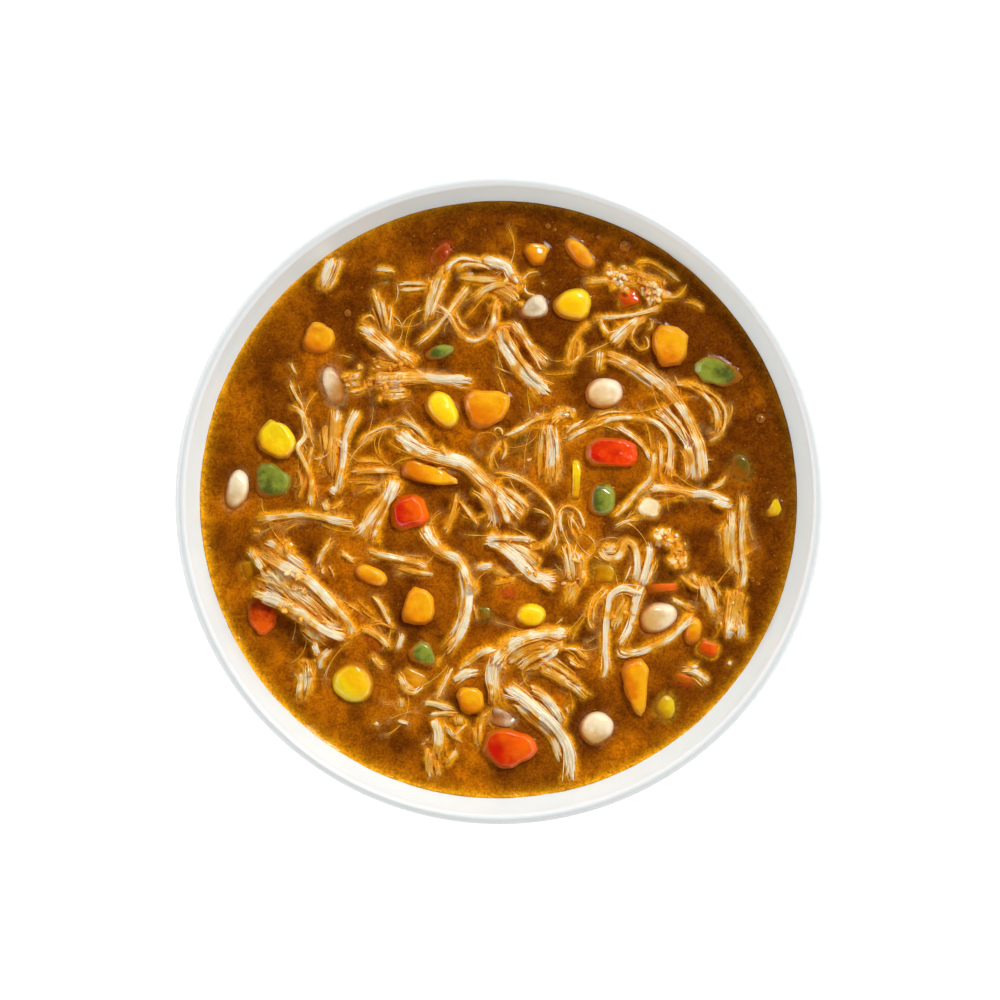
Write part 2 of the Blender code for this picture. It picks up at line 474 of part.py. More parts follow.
def cut_corners(corners):
    """An outline with each corner cut off, and the middle that it was measured from."""
    corners = [Vector(corner) for corner in corners]
    middle = sum(corners, Vector((0.0, 0.0))) / len(corners)
    outline = []
    for before, corner, after in zip(corners[-1:] + corners, corners, corners[1:] + corners[:1]):
        outline.append(corner.lerp(before, CUT_CORNER) - middle)
        outline.append(corner.lerp(after, CUT_CORNER) - middle)
    return outline, middle


def stacked(name, outline, rings, thickness, material, place, unevenness=UNEVEN):
    """A closed piece from rings of one outline, each as large and as high as the ring table says."""
    points = []
    for size, height in rings:
        for index, corner in enumerate(outline):
            uneven = 1.0 + unevenness * noise.noise(Vector((corner.x, corner.y, height)) + place.translation)
            points.append(Vector((*(corner * size * uneven), height * thickness / 2)))
    count = len(outline)
    faces = [list(range(count))[::-1], [len(points) - count + step for step in range(count)]]
    for low in range(0, len(points) - count, count):
        for step in range(count):
            after = (step + 1) % count
            faces.append([low + step, low + after, low + after + count, low + step + count])
    return add_object(name, points, faces, material, place)


def lie(middle, rise, thickness, turn=0.0, lean=0.0):
    """The place of a piece whose top stands this far above the broth."""
    height = broth_height(*middle) + rise - thickness / 2
    return Matrix.Translation((*middle, height)) @ Euler((lean, lean / 2, math.radians(turn))).to_matrix().to_4x4()


def make_vegetables(materials):
    made = []
    for name, (finish, middle, length, width, turn, rise, square, taper) in ROUNDED.items():
        thickness = min(PIECE_THICKNESS, 0.8 * width + 1.0)
        place = lie(middle, rise, thickness, turn, 0.1 * noise.noise(Vector((*middle, 0.5))))
        outline = oval(length, width, square, taper)
        made.append(stacked(name, outline, ROUND_RINGS, thickness, materials[finish], place))
        made[-1].data.shade_smooth()
    for name, (finish, rise, corners) in CUT.items():
        outline, middle = cut_corners(corners)
        place = lie(middle, rise, PIECE_THICKNESS, 0.0, 0.12 * noise.noise(Vector((*middle, 0.5))))
        made.append(stacked(name, outline, CUT_RINGS, PIECE_THICKNESS, materials[finish], place))
    return made


def make_core(name, middle, length, width, turn, material):
    thickness = CORE_TOP + CORE_DEPTH
    outline = oval(length, width, 2.4, 0.0, 6)
    return stacked(name, outline, CORE_RINGS, thickness, material, lie(middle, CORE_TOP, thickness, turn))


def smooth_path(points, spacing):
    """Points at about this spacing on a smooth curve through the given ones, in plan."""
    points = [Vector(point) for point in points]
    ends = [2 * points[0] - points[1]] + points + [2 * points[-1] - points[-2]]
    fine = []
    for before, start, end, after in zip(ends, ends[1:], ends[2:], ends[3:]):
        lean_out = start + (end - before) / 6
        lean_in = end - (after - start) / 6
        fine += geometry.interpolate_bezier(start, lean_out, lean_in, end, 24)[:-1]
    fine.append(points[-1])
    run = np.cumsum([0.0] + [(b - a).length for a, b in zip(fine, fine[1:])])
    places = np.linspace(0.0, run[-1], max(3, round(run[-1] / spacing) + 1))
    return [Vector((np.interp(at, run, [p.x for p in fine]), np.interp(at, run, [p.y for p in fine]))) for at in places]


def ribbon(name, path, width, material):
    """One shred: a flattened tube along the path, in millimetres, thinner at both ends."""
    half = width / 2
    rise = min(SHRED_THICKNESS, width) / 2
    section = [(-half, 0.0), (0.0, -rise), (half, 0.0), (0.0, rise)]
    if width < NARROW_SHRED:
        section = [(-half, -0.6 * rise), (half, -0.6 * rise), (0.0, rise)]
    points = []
    for index, middle in enumerate(path):
        ahead = path[min(index + 1, len(path) - 1)] - path[max(index - 1, 0)]
        across = Vector((-ahead.y, ahead.x, 0.0)).normalized()
        size = 0.6 if index in (0, len(path) - 1) else 1.0
        points += [middle + across * side * size + Vector((0.0, 0.0, up * size)) for side, up in section]
    count = len(section)
    faces = [list(range(count))[::-1], [len(points) - count + step for step in range(count)]]
    for low in range(0, len(points) - count, count):
        for step in range(count):
            after = (step + 1) % count
            faces.append([low + step, low + after, low + after + count, low + step + count])
    return add_object(name, points, faces, material)


def cell_of(values):
    return np.clip(((np.asarray(values) + MAP_HALF) / CELL).astype(int), 0, int(2 * MAP_HALF / CELL) - 1)


def height_map(thing):
    """The highest point of an object over each cell of the plan, in millimetres."""
    heights = np.full((int(2 * MAP_HALF / CELL),) * 2, -1.0)
    thing.data.calc_loop_triangles()
    for triangle in thing.data.loop_triangles:
        corners = np.array([thing.matrix_world @ thing.data.vertices[index].co for index in triangle.vertices]) / MM
        longest = max(np.linalg.norm(corners[step] - corners[step - 1]) for step in range(3))
        steps = max(1, math.ceil(longest / (0.7 * CELL)))
        first, second = np.meshgrid(np.arange(steps + 1), np.arange(steps + 1))
        inside = first + second <= steps
        first = first[inside][:, None] / steps
        second = second[inside][:, None] / steps
        spread = corners[0] + first * (corners[1] - corners[0]) + second * (corners[2] - corners[0])
        np.maximum.at(heights, (cell_of(spread[:, 1]), cell_of(spread[:, 0])), spread[:, 2])
    return heights


def highest_near(heights, point, reach):
    low_x, high_x = cell_of([point.x - reach, point.x + reach])
    low_y, high_y = cell_of([point.y - reach, point.y + reach])
    return heights[low_y:high_y + 1, low_x:high_x + 1].max()


def draped(points, width, heights):
    """A shred's path raised so that the shred clears whatever lies under it."""
    stations = smooth_path(points, SHRED_STEP)
    reach = width / 2 + CELL
    lift = GAP + min(SHRED_THICKNESS, width) / 2
    levels = [highest_near(heights, station, reach) + lift for station in stations]
    for index, (start, end) in enumerate(zip(stations, stations[1:])):
        for share in np.linspace(0.0, 1.0, 12):
            need = highest_near(heights, start.lerp(end, share), reach) + lift
            lack = need - (levels[index] * (1.0 - share) + levels[index + 1] * share)
            if lack > 0.0:
                levels[index] += lack
                levels[index + 1] += lack
    return [Vector((*station, level)) for station, level in zip(stations, levels)]


def combine(target, others, operation):
    """Joins the others to the target, or cuts them from it, and removes them."""
    group = bpy.data.collections.new("others")
    bpy.context.scene.collection.children.link(group)
    for piece in others:
        group.objects.link(piece)
    modifier = target.modifiers.new("combine", "BOOLEAN")
    modifier.operation = operation
    modifier.operand_type = "COLLECTION"
    modifier.collection = group
    modifier.solver = "MANIFOLD"
    bpy.context.view_layer.update()
    finished = bpy.data.meshes.new_from_object(target.evaluated_get(bpy.context.evaluated_depsgraph_get()))
    target.modifiers.clear()
    target.data = finished
    for piece in others:
        bpy.data.objects.remove(piece)
    bpy.data.collections.remove(group)


def keep_largest(target):
    """Drops loose scraps, and says how much of the piece they were."""
    shape = bmesh.new()
    shape.from_mesh(target.data)
    waiting = set(shape.faces)
    islands = []
    while waiting:
        island = set()
        edge = [waiting.pop()]
        while edge:
            face = edge.pop()
            island.add(face)
            for neighbour in {other for side in face.edges for other in side.link_faces} & waiting:
                waiting.discard(neighbour)
                edge.append(neighbour)
        islands.append((sum(face.calc_area() for face in island), island))
    islands.sort(key=lambda found: found[0])
    for area, island in islands[:-1]:
        middle = sum((face.calc_center_median() for face in island), Vector()) / len(island)
        middle = target.matrix_world @ middle / MM
        print(f"{target.name}: a scrap of {area / MM ** 2:.1f} mm2 dropped at {middle.x:.0f}, {middle.y:.0f}")
        bmesh.ops.delete(shape, geom=list({corner for face in island for corner in face.verts}), context="VERTS")
    shape.to_mesh(target.data)
    shape.free()


def room_for(thing):
    """A straight-sided cutter round a piece, from just under it to well above it."""
    corners = [thing.matrix_world @ vertex.co / MM for vertex in thing.data.vertices]
    low = min(corner.z for corner in corners) - GAP
    high = max(corner.z for corner in corners) + PIECE_THICKNESS
    flat = [corner.to_2d() for corner in corners]
    hull = [flat[index] for index in geometry.convex_hull_2d(flat)]
    middle = sum(hull, Vector((0.0, 0.0))) / len(hull)
    outline = [(corner - middle) * (1.0 + 1.3 * GAP / (corner - middle).length) for corner in hull]
    place = Matrix.Translation((middle.x, middle.y, (low + high) / 2))
    return stacked("room", outline, ROOM_RINGS, high - low, thing.data.materials[0], place, 0.0)


def fill_broth(broth, neighbours, material):
    """Fuses the small pieces and shreds to the broth, then cuts room round everything that lies in it."""
    small = []
    for middle, length, width, turn, rise in SMALL_PIECES:
        thickness = rise + 2.0
        place = lie(middle, rise, thickness, turn)
        small.append(stacked("small", oval(length, width, 2.2, 0.0, 5), SMALL_RINGS, thickness, material, place))
    for width, *points in SMALL_SHREDS:
        lift = min(SHRED_THICKNESS, width) / 2 - SMALL_SINK
        path = [Vector((*spot, broth_height(*spot) + lift)) for spot in smooth_path(points, SHRED_STEP)]
        small.append(ribbon("small", path, width, material))
    combine(broth, small, "UNION")
    combine(broth, [room_for(piece) for piece in neighbours], "DIFFERENCE")
    keep_largest(broth)


def make_chicken(cores, maps, material):
    """Each bundle: its shreds laid over what is under them, joined to its core and to each other."""
    for name, rows in SHREDS.items():
        under = np.maximum.reduce([heights for owner, heights in maps.items() if owner != name])
        shreds = [ribbon(name, draped(points, width, under), width, material) for width, *points in rows]
        pieces = cores[name] + shreds
        bundle = pieces[0]
        combine(bundle, pieces[1:], "UNION")
        bundle.name = name
        keep_largest(bundle)
        maps[name] = height_map(bundle)


def main():
    clear_scene()
    materials = make_materials()
    make_bowl(materials["glazed_white"])
    broth = make_broth(materials["broth"])
    vegetables = make_vegetables(materials)
    cores = {name: [] for name in SHREDS}
    for name, bodies in CORES.items():
        cores[name] = [make_core(name + "_core", *body, materials["chicken"]) for body in bodies]
    lying = vegetables + [core for bodies in cores.values() for core in bodies]
    fill_broth(broth, lying, materials["broth"])
    maps = {piece.name: height_map(piece) for piece in [broth] + vegetables}
    for name, bodies in cores.items():
        if bodies:
            maps[name] = np.maximum.reduce([height_map(body) for body in bodies])
    make_chicken(cores, maps, materials["chicken"])


main()
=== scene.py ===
# %% [markdown]
# # A bowl of chicken and vegetable soup
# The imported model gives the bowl, the broth, each vegetable piece and each bundle of shredded chicken as
# plain solids. This lesson dresses them: a glazed bowl, a thick amber broth, soft cubes of vegetable, and
# chicken that is really made of fibres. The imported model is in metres, and so is all that Blender gets. The
# tables and sums here are in millimetres, with plans measured from the middle of the bowl.

import math

import bpy
import numpy as np
from mathutils import Matrix, Vector


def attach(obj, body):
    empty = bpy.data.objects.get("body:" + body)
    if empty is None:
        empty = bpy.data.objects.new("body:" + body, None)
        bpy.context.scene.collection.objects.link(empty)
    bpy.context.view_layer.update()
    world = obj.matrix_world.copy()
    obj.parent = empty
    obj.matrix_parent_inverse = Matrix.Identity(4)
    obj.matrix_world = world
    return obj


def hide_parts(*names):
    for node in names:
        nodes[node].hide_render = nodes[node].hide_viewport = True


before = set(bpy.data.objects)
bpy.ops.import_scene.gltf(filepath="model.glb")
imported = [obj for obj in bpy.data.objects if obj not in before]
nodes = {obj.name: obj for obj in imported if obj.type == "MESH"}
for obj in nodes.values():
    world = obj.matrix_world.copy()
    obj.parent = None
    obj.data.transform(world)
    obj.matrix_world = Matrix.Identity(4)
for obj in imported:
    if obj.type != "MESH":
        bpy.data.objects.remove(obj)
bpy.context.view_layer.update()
MM = 0.001

# %% [markdown]
# The broth stands 48 mm above the table and swells gently. Everything else is set from that level. Even
# noise on a grid of random values is enough for swells, wandering fibres and uneven surfaces. Each use has a
# seed of its own, so every run gives the same bowl of soup.

# %% Levels and noise
SOUP_TOP = 48.0
SOUP_RADIUS = 69.85
TABLE = 64
TABLES = {}


def uneven(x, y, length, seed):
    """Smooth noise from -1 to 1 at points x, y, with hills about this far apart."""
    if seed not in TABLES:
        TABLES[seed] = np.random.default_rng(seed).uniform(-1.0, 1.0, (TABLE, TABLE))
    table = TABLES[seed]
    # The shifts put the middle of the bowl between the grid's corners, where no hill or hollow is pinned
    across, along = np.asarray(x) / length + 313.7, np.asarray(y) / length + 171.3
    column, row = np.floor(across).astype(int), np.floor(along).astype(int)
    u, v = across - column, along - row
    u, v = u * u * (3 - 2 * u), v * v * (3 - 2 * v)
    left, right, lower, upper = column % TABLE, (column + 1) % TABLE, row % TABLE, (row + 1) % TABLE
    near = table[lower, left] * (1 - u) + table[lower, right] * u
    far = table[upper, left] * (1 - u) + table[upper, right] * u
    return near * (1 - v) + far * v


def soup_level(x, y):
    """The calm height of the broth."""
    return SOUP_TOP + 0.25 * uneven(x, y, 16.0, 1) + 0.08 * uneven(x, y, 5.0, 2)


print("broth in the middle:", soup_level(0.0, 0.0).round(2))

# %% [markdown]
# What comes later lies on what came earlier. So a plan map of square cells notes how high each piece reaches
# over each cell, and its colour there. Shreds and crumbs look up what carries them, and at the end the broth
# looks up what it rises against and what shines through it.

# %% Map of the plan
CELL = 0.35
HALF_MAP = 75.0
SIDE = int(2 * HALF_MAP / CELL)
NOTHING = -99.0
middles = (np.arange(SIDE) + 0.5) * CELL - HALF_MAP
calm = soup_level(*np.meshgrid(middles, middles))
tops = np.full((SIDE, SIDE), NOTHING)
tints = np.zeros((SIDE, SIDE, 3))


def cell_of(values):
    return np.clip(((np.asarray(values) + HALF_MAP) / CELL).astype(int), 0, SIDE - 1)


def stamp(points, tint):
    """Notes the height of these points over their cells where they are the highest yet, and their colour."""
    x, y, z = points.T
    row, column = cell_of(y), cell_of(x)
    order = np.argsort(z)
    row, column, z = row[order], column[order], z[order]
    higher = z > tops[row, column]
    row, column, z = row[higher], column[higher], z[higher]
    tops[row, column] = z
    tints[row, column] = tint


def support(x, y, reach):
    """The highest thing within this reach of each point: the broth, or a piece on it."""
    ground = np.maximum(tops, calm)
    row, column = cell_of(y), cell_of(x)
    steps = max(1, round(reach / CELL))
    found = np.full(np.shape(row), NOTHING)
    for up in range(-steps, steps + 1):
        for side in range(-steps, steps + 1):
            there = ground[np.clip(row + up, 0, SIDE - 1), np.clip(column + side, 0, SIDE - 1)]
            found = np.maximum(found, there)
    return found


def blurred(image, reach):
    """The map averaged over about this reach."""
    steps = max(1, round(reach / CELL / 2))
    for _ in range(3):
        for axis in (0, 1):
            image = sum(np.roll(image, step, axis) for step in range(-steps, steps + 1)) / (2 * steps + 1)
    return image


def on_map(image, x, y):
    """The map's value at points, between its cells."""
    across, along = (np.clip((np.asarray(line) + HALF_MAP) / CELL - 0.5, 0, SIDE - 1.001) for line in (x, y))
    column, row = across.astype(int), along.astype(int)
    u, v = across - column, along - row
    if image.ndim == 3:
        u, v = u[:, None], v[:, None]
    return ((image[row, column] * (1 - u) + image[row, column + 1] * u) * (1 - v)
            + (image[row + 1, column] * (1 - u) + image[row + 1, column + 1] * u) * v)


print("map cells:", tops.size)

# %% [markdown]
# Materials are built from node trees. A small wrapper round a socket lets the maths read as Python, and one
# method makes any other node: it takes the node's type, its settings, and the values or links of its
# sockets. An input such as i6 stands for the node's socket number 6, where names aren't enough to tell
# sockets apart.

# %% Shader helper


class Wire:
    """A socket of a material's node tree, with arithmetic."""

    tree = None

    def __init__(self, socket):
        self.socket = socket

    @classmethod
    def node(cls, kind, settings=None, out=0, **inputs):
        made = cls.tree.nodes.new(kind)
        for name, value in (settings or {}).items():
            if name == "stops":
                ramp = made.color_ramp
                while len(ramp.elements) < len(value):
                    ramp.elements.new(0.5)
                for element, (place, colour) in zip(ramp.elements, value):
                    element.position = place
                    element.color = (*colour, 1.0)
            else:
                setattr(made, name, value)
        for name, value in inputs.items():
            numbered = name[0] == "i" and name[1:].isdigit()
            cls.join(value, made.inputs[int(name[1:]) if numbered else name.replace("_", " ")])
        return cls(made.outputs[out])

    @classmethod
    def join(cls, value, socket):
        if isinstance(value, Wire):
            cls.tree.links.new(value.socket, socket)
        elif isinstance(value, tuple) and socket.type == "RGBA":
            socket.default_value = (*value, 1.0)
        else:
            socket.default_value = value

    @classmethod
    def maths(cls, operation, first, second):
        return cls.node("ShaderNodeMath", {"operation": operation}, i0=first, i1=second)

    def __add__(self, other):
        return self.maths("ADD", self, other)

    def __radd__(self, other):
        return self.maths("ADD", other, self)

    def __sub__(self, other):
        return self.maths("SUBTRACT", self, other)

    def __rsub__(self, other):
        return self.maths("SUBTRACT", other, self)

    def __mul__(self, other):
        return self.maths("MULTIPLY", self, other)

    def __rmul__(self, other):
        return self.maths("MULTIPLY", other, self)

    def span(self, low, high, to_low=0.0, to_high=1.0):
        """This value from low to high, made to run from one limit to the other with soft ends."""
        return Wire.node("ShaderNodeMapRange", {"interpolation_type": "SMOOTHSTEP"}, Value=self, From_Min=low,
                         From_Max=high, To_Min=to_low, To_Max=to_high)

    def mix(self, first, second):
        """Colour from first to second as this value goes from 0 to 1."""
        return Wire.node("ShaderNodeMix", {"data_type": "RGBA"}, out=2, i0=self, i6=first, i7=second)

    def ramp(self, *stops):
        """Colour through these stops, each a place and a colour, as this value goes from 0 to 1."""
        return Wire.node("ShaderNodeValToRGB", {"stops": stops}, Fac=self)


# %% [markdown]
# With the wrapper, a material takes three steps. It is made with the values that are the same all over, the
# patterns are written as sums of noise, height and numbers kept on the mesh, and they are painted on.

# %% Materials and patterns


def new_material(name, **constants):
    material = bpy.data.materials.new(name)
    material.use_nodes = True
    Wire.tree = material.node_tree
    shader = material.node_tree.nodes["Principled BSDF"]
    for socket, value in constants.items():
        shader.inputs[socket.replace("_", " ")].default_value = value
    return material


def paint(**links):
    """Joins what changes over the surface to the current material's shader."""
    shader = Wire.tree.nodes["Principled BSDF"]
    for socket, value in links.items():
        Wire.join(value, shader.inputs[socket.replace("_", " ")])


def place_on_piece():
    return Wire.node("ShaderNodeTexCoord", out=3)


def grain(scale, detail=2.0, roughness=0.5, distortion=0.0):
    """Noise of this many cells a metre."""
    return Wire.node("ShaderNodeTexNoise", Vector=place_on_piece(), Scale=scale, Detail=detail,
                     Roughness=roughness, Distortion=distortion)


def height_mm():
    """A point's height above the table in millimetres."""
    return Wire.node("ShaderNodeSeparateXYZ", out=2, Vector=place_on_piece()) * 1000.0


def kept(name, out=2):
    """What the mesh keeps on its points under this name: a number, or a colour from the output 0."""
    return Wire.node("ShaderNodeAttribute", {"attribute_name": name}, out=out)


def bumped(height, depth):
    return Wire.node("ShaderNodeBump", Height=height, Distance=depth, Strength=1.0)


# %% [markdown]
# A new piece is finished when it rides on the model's body, stands for its plain solid, and has its
# material. Operators act on whatever is selected, so everything is deselected first.

# %% Finishing a piece


def deselect():
    bpy.ops.object.select_all(action="DESELECT")


def take_up(thing):
    """Selects one object alone and makes it active."""
    deselect()
    thing.select_set(True)
    bpy.context.view_layer.objects.active = thing
    return thing


def finish_piece(piece, material, node):
    piece.data.materials.clear()
    piece.data.materials.append(material)
    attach(piece, "root")
    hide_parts(node)


# %% [markdown]
# Where points are moved by sums, numpy reads them all from a mesh and puts them back. A mesh can also keep a
# number or a colour on each point, which a material then reads by its name.

# %% Points of a mesh


def points_of(mesh):
    flat = np.empty(len(mesh.vertices) * 3)
    mesh.vertices.foreach_get("co", flat)
    return flat.reshape(-1, 3) / MM


def put_points(mesh, points):
    mesh.vertices.foreach_set("co", (points * MM).ravel())
    mesh.update()


def mesh_piece(name, points, faces):
    """A new smooth-shaded piece from points and from faces that list them."""
    mesh = bpy.data.meshes.new(name)
    mesh.from_pydata((points * MM).tolist(), [], faces)
    mesh.polygons.foreach_set("use_smooth", np.ones(len(mesh.polygons), bool))
    mesh.update()
    piece = bpy.data.objects.new(name, mesh)
    bpy.context.scene.collection.objects.link(piece)
    return piece


def round_off(piece, levels):
    """Rounds a piece by a Subdivision Surface of this many levels."""
    smooth = piece.modifiers.new("Smooth", "SUBSURF")
    smooth.levels = smooth.render_levels = levels
    bpy.ops.object.modifier_apply(modifier="Smooth")


def keep_numbers(mesh, **numbers):
    for name, values in numbers.items():
        attribute = mesh.attributes.new(name, "FLOAT", "POINT")
        attribute.data.foreach_set("value", np.asarray(values, np.float32))


def keep_tint(mesh, colours):
    rows = np.concatenate([colours, np.ones((len(colours), 1))], 1).astype(np.float32)
    mesh.color_attributes.new("tint", "FLOAT_COLOR", "POINT").data.foreach_set("color", rows.ravel())


# %% [markdown]
# The bowl is thrown stoneware with a clear white glaze. A potter turns it, and it is turned here too: a ring
# is extruded and resized once for each point of the wall's section, from the middle of the foot, out over
# the wall, round the lip and down the inside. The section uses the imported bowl's own sizes, with more
# points, so the outline stays where it is and the facets go. Each row of the section is a radius and a
# height.

# %% Section of the bowl


def curve_points(start, lean_out, lean_in, end, count):
    """Points along one stretch of the section, which leaves its ends towards the two leans."""
    share = np.linspace(0.0, 1.0, count)[:, None]
    start, lean_out, lean_in, end = (np.array(corner) for corner in (start, lean_out, lean_in, end))
    return [tuple(point) for point in (1 - share) ** 3 * start + 3 * (1 - share) ** 2 * share * lean_out
            + 3 * (1 - share) * share ** 2 * lean_in + share ** 3 * end]


HOLLOW = ((69.7, 48.0), (64.0, 26.0), (50.0, 9.0), (20.0, 8.0))
underside = [(8.0, 3.6), (20.0, 3.6), (27.4, 3.5), (28.4, 3.1)]
foot = [(28.9, 0.6), (29.6, 0.0), (31.2, 0.0), (31.9, 0.5)]
outside = curve_points((32.4, 4.6), (56.0, 8.0), (69.5, 26.0), (74.9, 55.6), 26)
lip = [(74.95, 56.3), (74.8, 57.0), (74.45, 57.6), (73.95, 57.95), (73.4, 57.95), (72.85, 57.6), (72.5, 57.0)]
upper_wall = [(72.2, 55.6), (71.5, 53.0), (70.6, 50.4)]
section = underside + foot + outside + lip + upper_wall + curve_points(*HOLLOW, 20) + [(8.0, 8.0)]
print("rings in the section:", len(section))

# %% [markdown]
# The first ring is a filled circle in the middle of the foot. Its border is the only open edge, so it is
# what "select non-manifold" finds, and each extrusion leaves the new ring selected for the next.

# %% Bowl


def turn_on(rings):
    """Extrudes the selected ring, which is the first of these, on through all the others."""
    for (radius, height), (next_radius, next_height) in zip(rings, rings[1:]):
        up = (0, 0, (next_height - height) * MM)
        bpy.ops.mesh.extrude_region_move(TRANSFORM_OT_translate={"value": up})
        bpy.ops.transform.resize(value=(next_radius / radius, next_radius / radius, 1))


def close_up():
    """Closes the selected ring by one face and turns all faces outwards."""
    bpy.ops.mesh.edge_face_add()
    bpy.ops.mesh.select_all(action="SELECT")
    bpy.ops.mesh.normals_make_consistent(inside=False)
    bpy.ops.object.mode_set(mode="OBJECT")


first_radius, first_height = section[0]
bpy.ops.mesh.primitive_circle_add(vertices=144, radius=first_radius * MM, fill_type="TRIFAN",
                                  location=(0, 0, first_height * MM))
bowl = take_up(bpy.context.object)
bowl.name = "glazed_bowl"
bpy.ops.object.transform_apply(location=True)
bpy.ops.object.mode_set(mode="EDIT")
bpy.ops.mesh.select_all(action="SELECT")
bpy.ops.mesh.flip_normals()
bpy.ops.mesh.select_mode(type="VERT")
bpy.ops.mesh.select_all(action="DESELECT")
bpy.ops.mesh.select_non_manifold()
turn_on(section)
close_up()
bpy.ops.object.shade_smooth_by_angle(angle=math.radians(50))
print("bowl faces:", len(bowl.data.polygons))

# %% [markdown]
# The glaze is white and glossy, and lies a little unevenly, which shows as a faint wave in its
# reflections. The broth throws warm light on the inside, so the white there is set cool and comes out
# neutral. The outside is painted greyer, a painted shade, because a white bowl is lost against a white
# floor. The mesh keeps a number for that: 0 on the outside, 1 on the inside, and rising over the lip. The
# top of the lip, which faces up into the light, is painted a slightly greyer white than the inside, also a
# painted shade. The glaze is wiped off the foot ring before firing, so the ring is bare, rough and sandy.

# %% Glaze
RISING = 10
spots = points_of(bowl.data)
spots = np.stack([np.hypot(spots[:, 0], spots[:, 1]), spots[:, 2]], 1)
nearest = np.linalg.norm(spots[:, None] - np.array(section)[None], axis=2).argmin(1)
first_inside = len(underside + foot + outside + lip)
keep_numbers(bowl.data, within=np.clip((nearest - first_inside + RISING) / RISING, 0, 1))

glaze = new_material("white_glaze", IOR=1.5, Coat_Weight=0.08, Coat_Roughness=0.05)
bare = height_mm().span(0.5, 1.1, 1.0, 0.0)
pooled_and_lip_shade = grain(60, 2).span(0.3, 0.7).mix((0.78, 0.865, 0.885), (0.805, 0.89, 0.91))
# Painted shade: the top of the lip, which faces up into the light, gets a greyer white
pooled_and_lip_shade = height_mm().span(55.6, 57.0).mix(pooled_and_lip_shade, (0.78, 0.82, 0.835))
# Painted shade: the outside of the bowl gets a grey white
paint(Base_Color=bare.mix(kept("within").mix((0.53, 0.54, 0.54), pooled_and_lip_shade), (0.6, 0.54, 0.46)),
      Roughness=bare * 0.5 + (0.3 + 0.08 * grain(220, 3)),
      Normal=bumped(grain(130, 2) + bare * grain(2500, 4) * 0.2, 0.0003))
finish_piece(bowl, glaze, "bowl")
print("points inside:", int((nearest >= first_inside).sum()), "of", len(nearest))

# %% [markdown]
# Each cube, kernel and bean starts as a copy of its solid, with the doubled corners merged. Boiling rounds a
# cube and wrinkles it a little, so the copy gets a Subdivision Surface, with creased edges where the knife's
# cut still shows, and then a slight dent here and swell there. The copy is grown a little first, because
# subdivision draws corners in.

# %% Vegetables


def soften(node, crease, growth, waviness, wave, seed):
    """A rounded copy of a node: creased edges, grown in plan, with waves this high and long."""
    piece = nodes[node].copy()
    piece.data = nodes[node].data.copy()
    piece.parent = None
    for key in list(piece.keys()):
        del piece[key]
    bpy.context.scene.collection.objects.link(piece)
    take_up(piece)
    piece.name = "soft_" + node
    bpy.ops.object.mode_set(mode="EDIT")
    bpy.ops.mesh.select_all(action="SELECT")
    bpy.ops.mesh.remove_doubles(threshold=0.00001)
    bpy.ops.mesh.customdata_custom_splitnormals_clear()
    bpy.ops.mesh.tris_convert_to_quads(face_threshold=math.radians(30), shape_threshold=math.radians(60))
    bpy.ops.transform.edge_crease(value=crease)
    bpy.ops.object.mode_set(mode="OBJECT")
    points = points_of(piece.data)
    middle = (points.min(0) + points.max(0)) / 2
    points[:, :2] = middle[:2] + (points[:, :2] - middle[:2]) * growth
    put_points(piece.data, points)
    round_off(piece, 3)
    points = points_of(piece.data)
    out = points - middle
    out /= np.linalg.norm(out, axis=1)[:, None] + 1e-6
    x, y, z = points.T
    swell = waviness * uneven(x + 0.6 * z, y - 0.7 * z, wave, seed)
    put_points(piece.data, points + out * swell[:, None])
    bpy.ops.object.shade_smooth()
    return piece


# %% [markdown]
# Wet boiled vegetable shows three things: its own colour, a second colour where it is paler or riper, and
# the soup that clings to its foot, its outline and its hollows. The material mixes them by height over the
# broth, by noise, and by two numbers on the points: one which rises across the piece, and "inside", which
# rises from its outline inwards. Where the second colour rises towards the window, it is painted light. The
# soup is made heavier where the first number is low, which is partly real soup and partly painted shade. A
# little light passes through.

# %% Vegetable finishes
# Soup film on the vegetables, dark enough to stand also for the shade at their low side: partly painted shade
SAUCE_AND_SHADE = (0.42, 0.115, 0.0015)


def vegetable(name, main, other, patch, clean_from, clean_to, gloss):
    """Main and other colour in patches of this many a metre, clean of soup from one height to the other."""
    material = new_material(name, IOR=1.38, Subsurface_Weight=0.2, Subsurface_Scale=0.0012,
                            Subsurface_Radius=(1.0, 0.5, 0.2), Coat_Roughness=0.05, Coat_IOR=1.5,
                            Specular_IOR_Level=0.12)
    blend = kept("blend")
    # Painted light: the second colour rises towards the window's side of the piece
    colour = (blend + 1.8 * (grain(patch, 3, 0.6) - 0.5)).span(0.1, 0.9).mix(main, other)
    cling = 1.2 * (grain(450, 3, 0.6) - 0.5)
    # Soup clings at the foot and the outline; the extra on the side where the second colour is lowest is
    # painted shade
    low = (height_mm() + 1.2 * (blend - 0.5) - cling).span(clean_from, clean_to, 1.0, 0.0)
    edge = (kept("inside") + 0.9 * (blend - 0.4) - 0.6 * cling).span(-0.1, 0.8, 1.0, 0.0)
    film_and_shade = Wire.maths("MAXIMUM", low, edge)
    paint(Base_Color=(film_and_shade * 0.92).mix(colour, SAUCE_AND_SHADE), Roughness=gloss + 0.12 * grain(900, 2),
          Coat_Weight=0.95 - 0.9 * film_and_shade, Normal=bumped(grain(700, 3, 0.6), 0.00026))
    return material


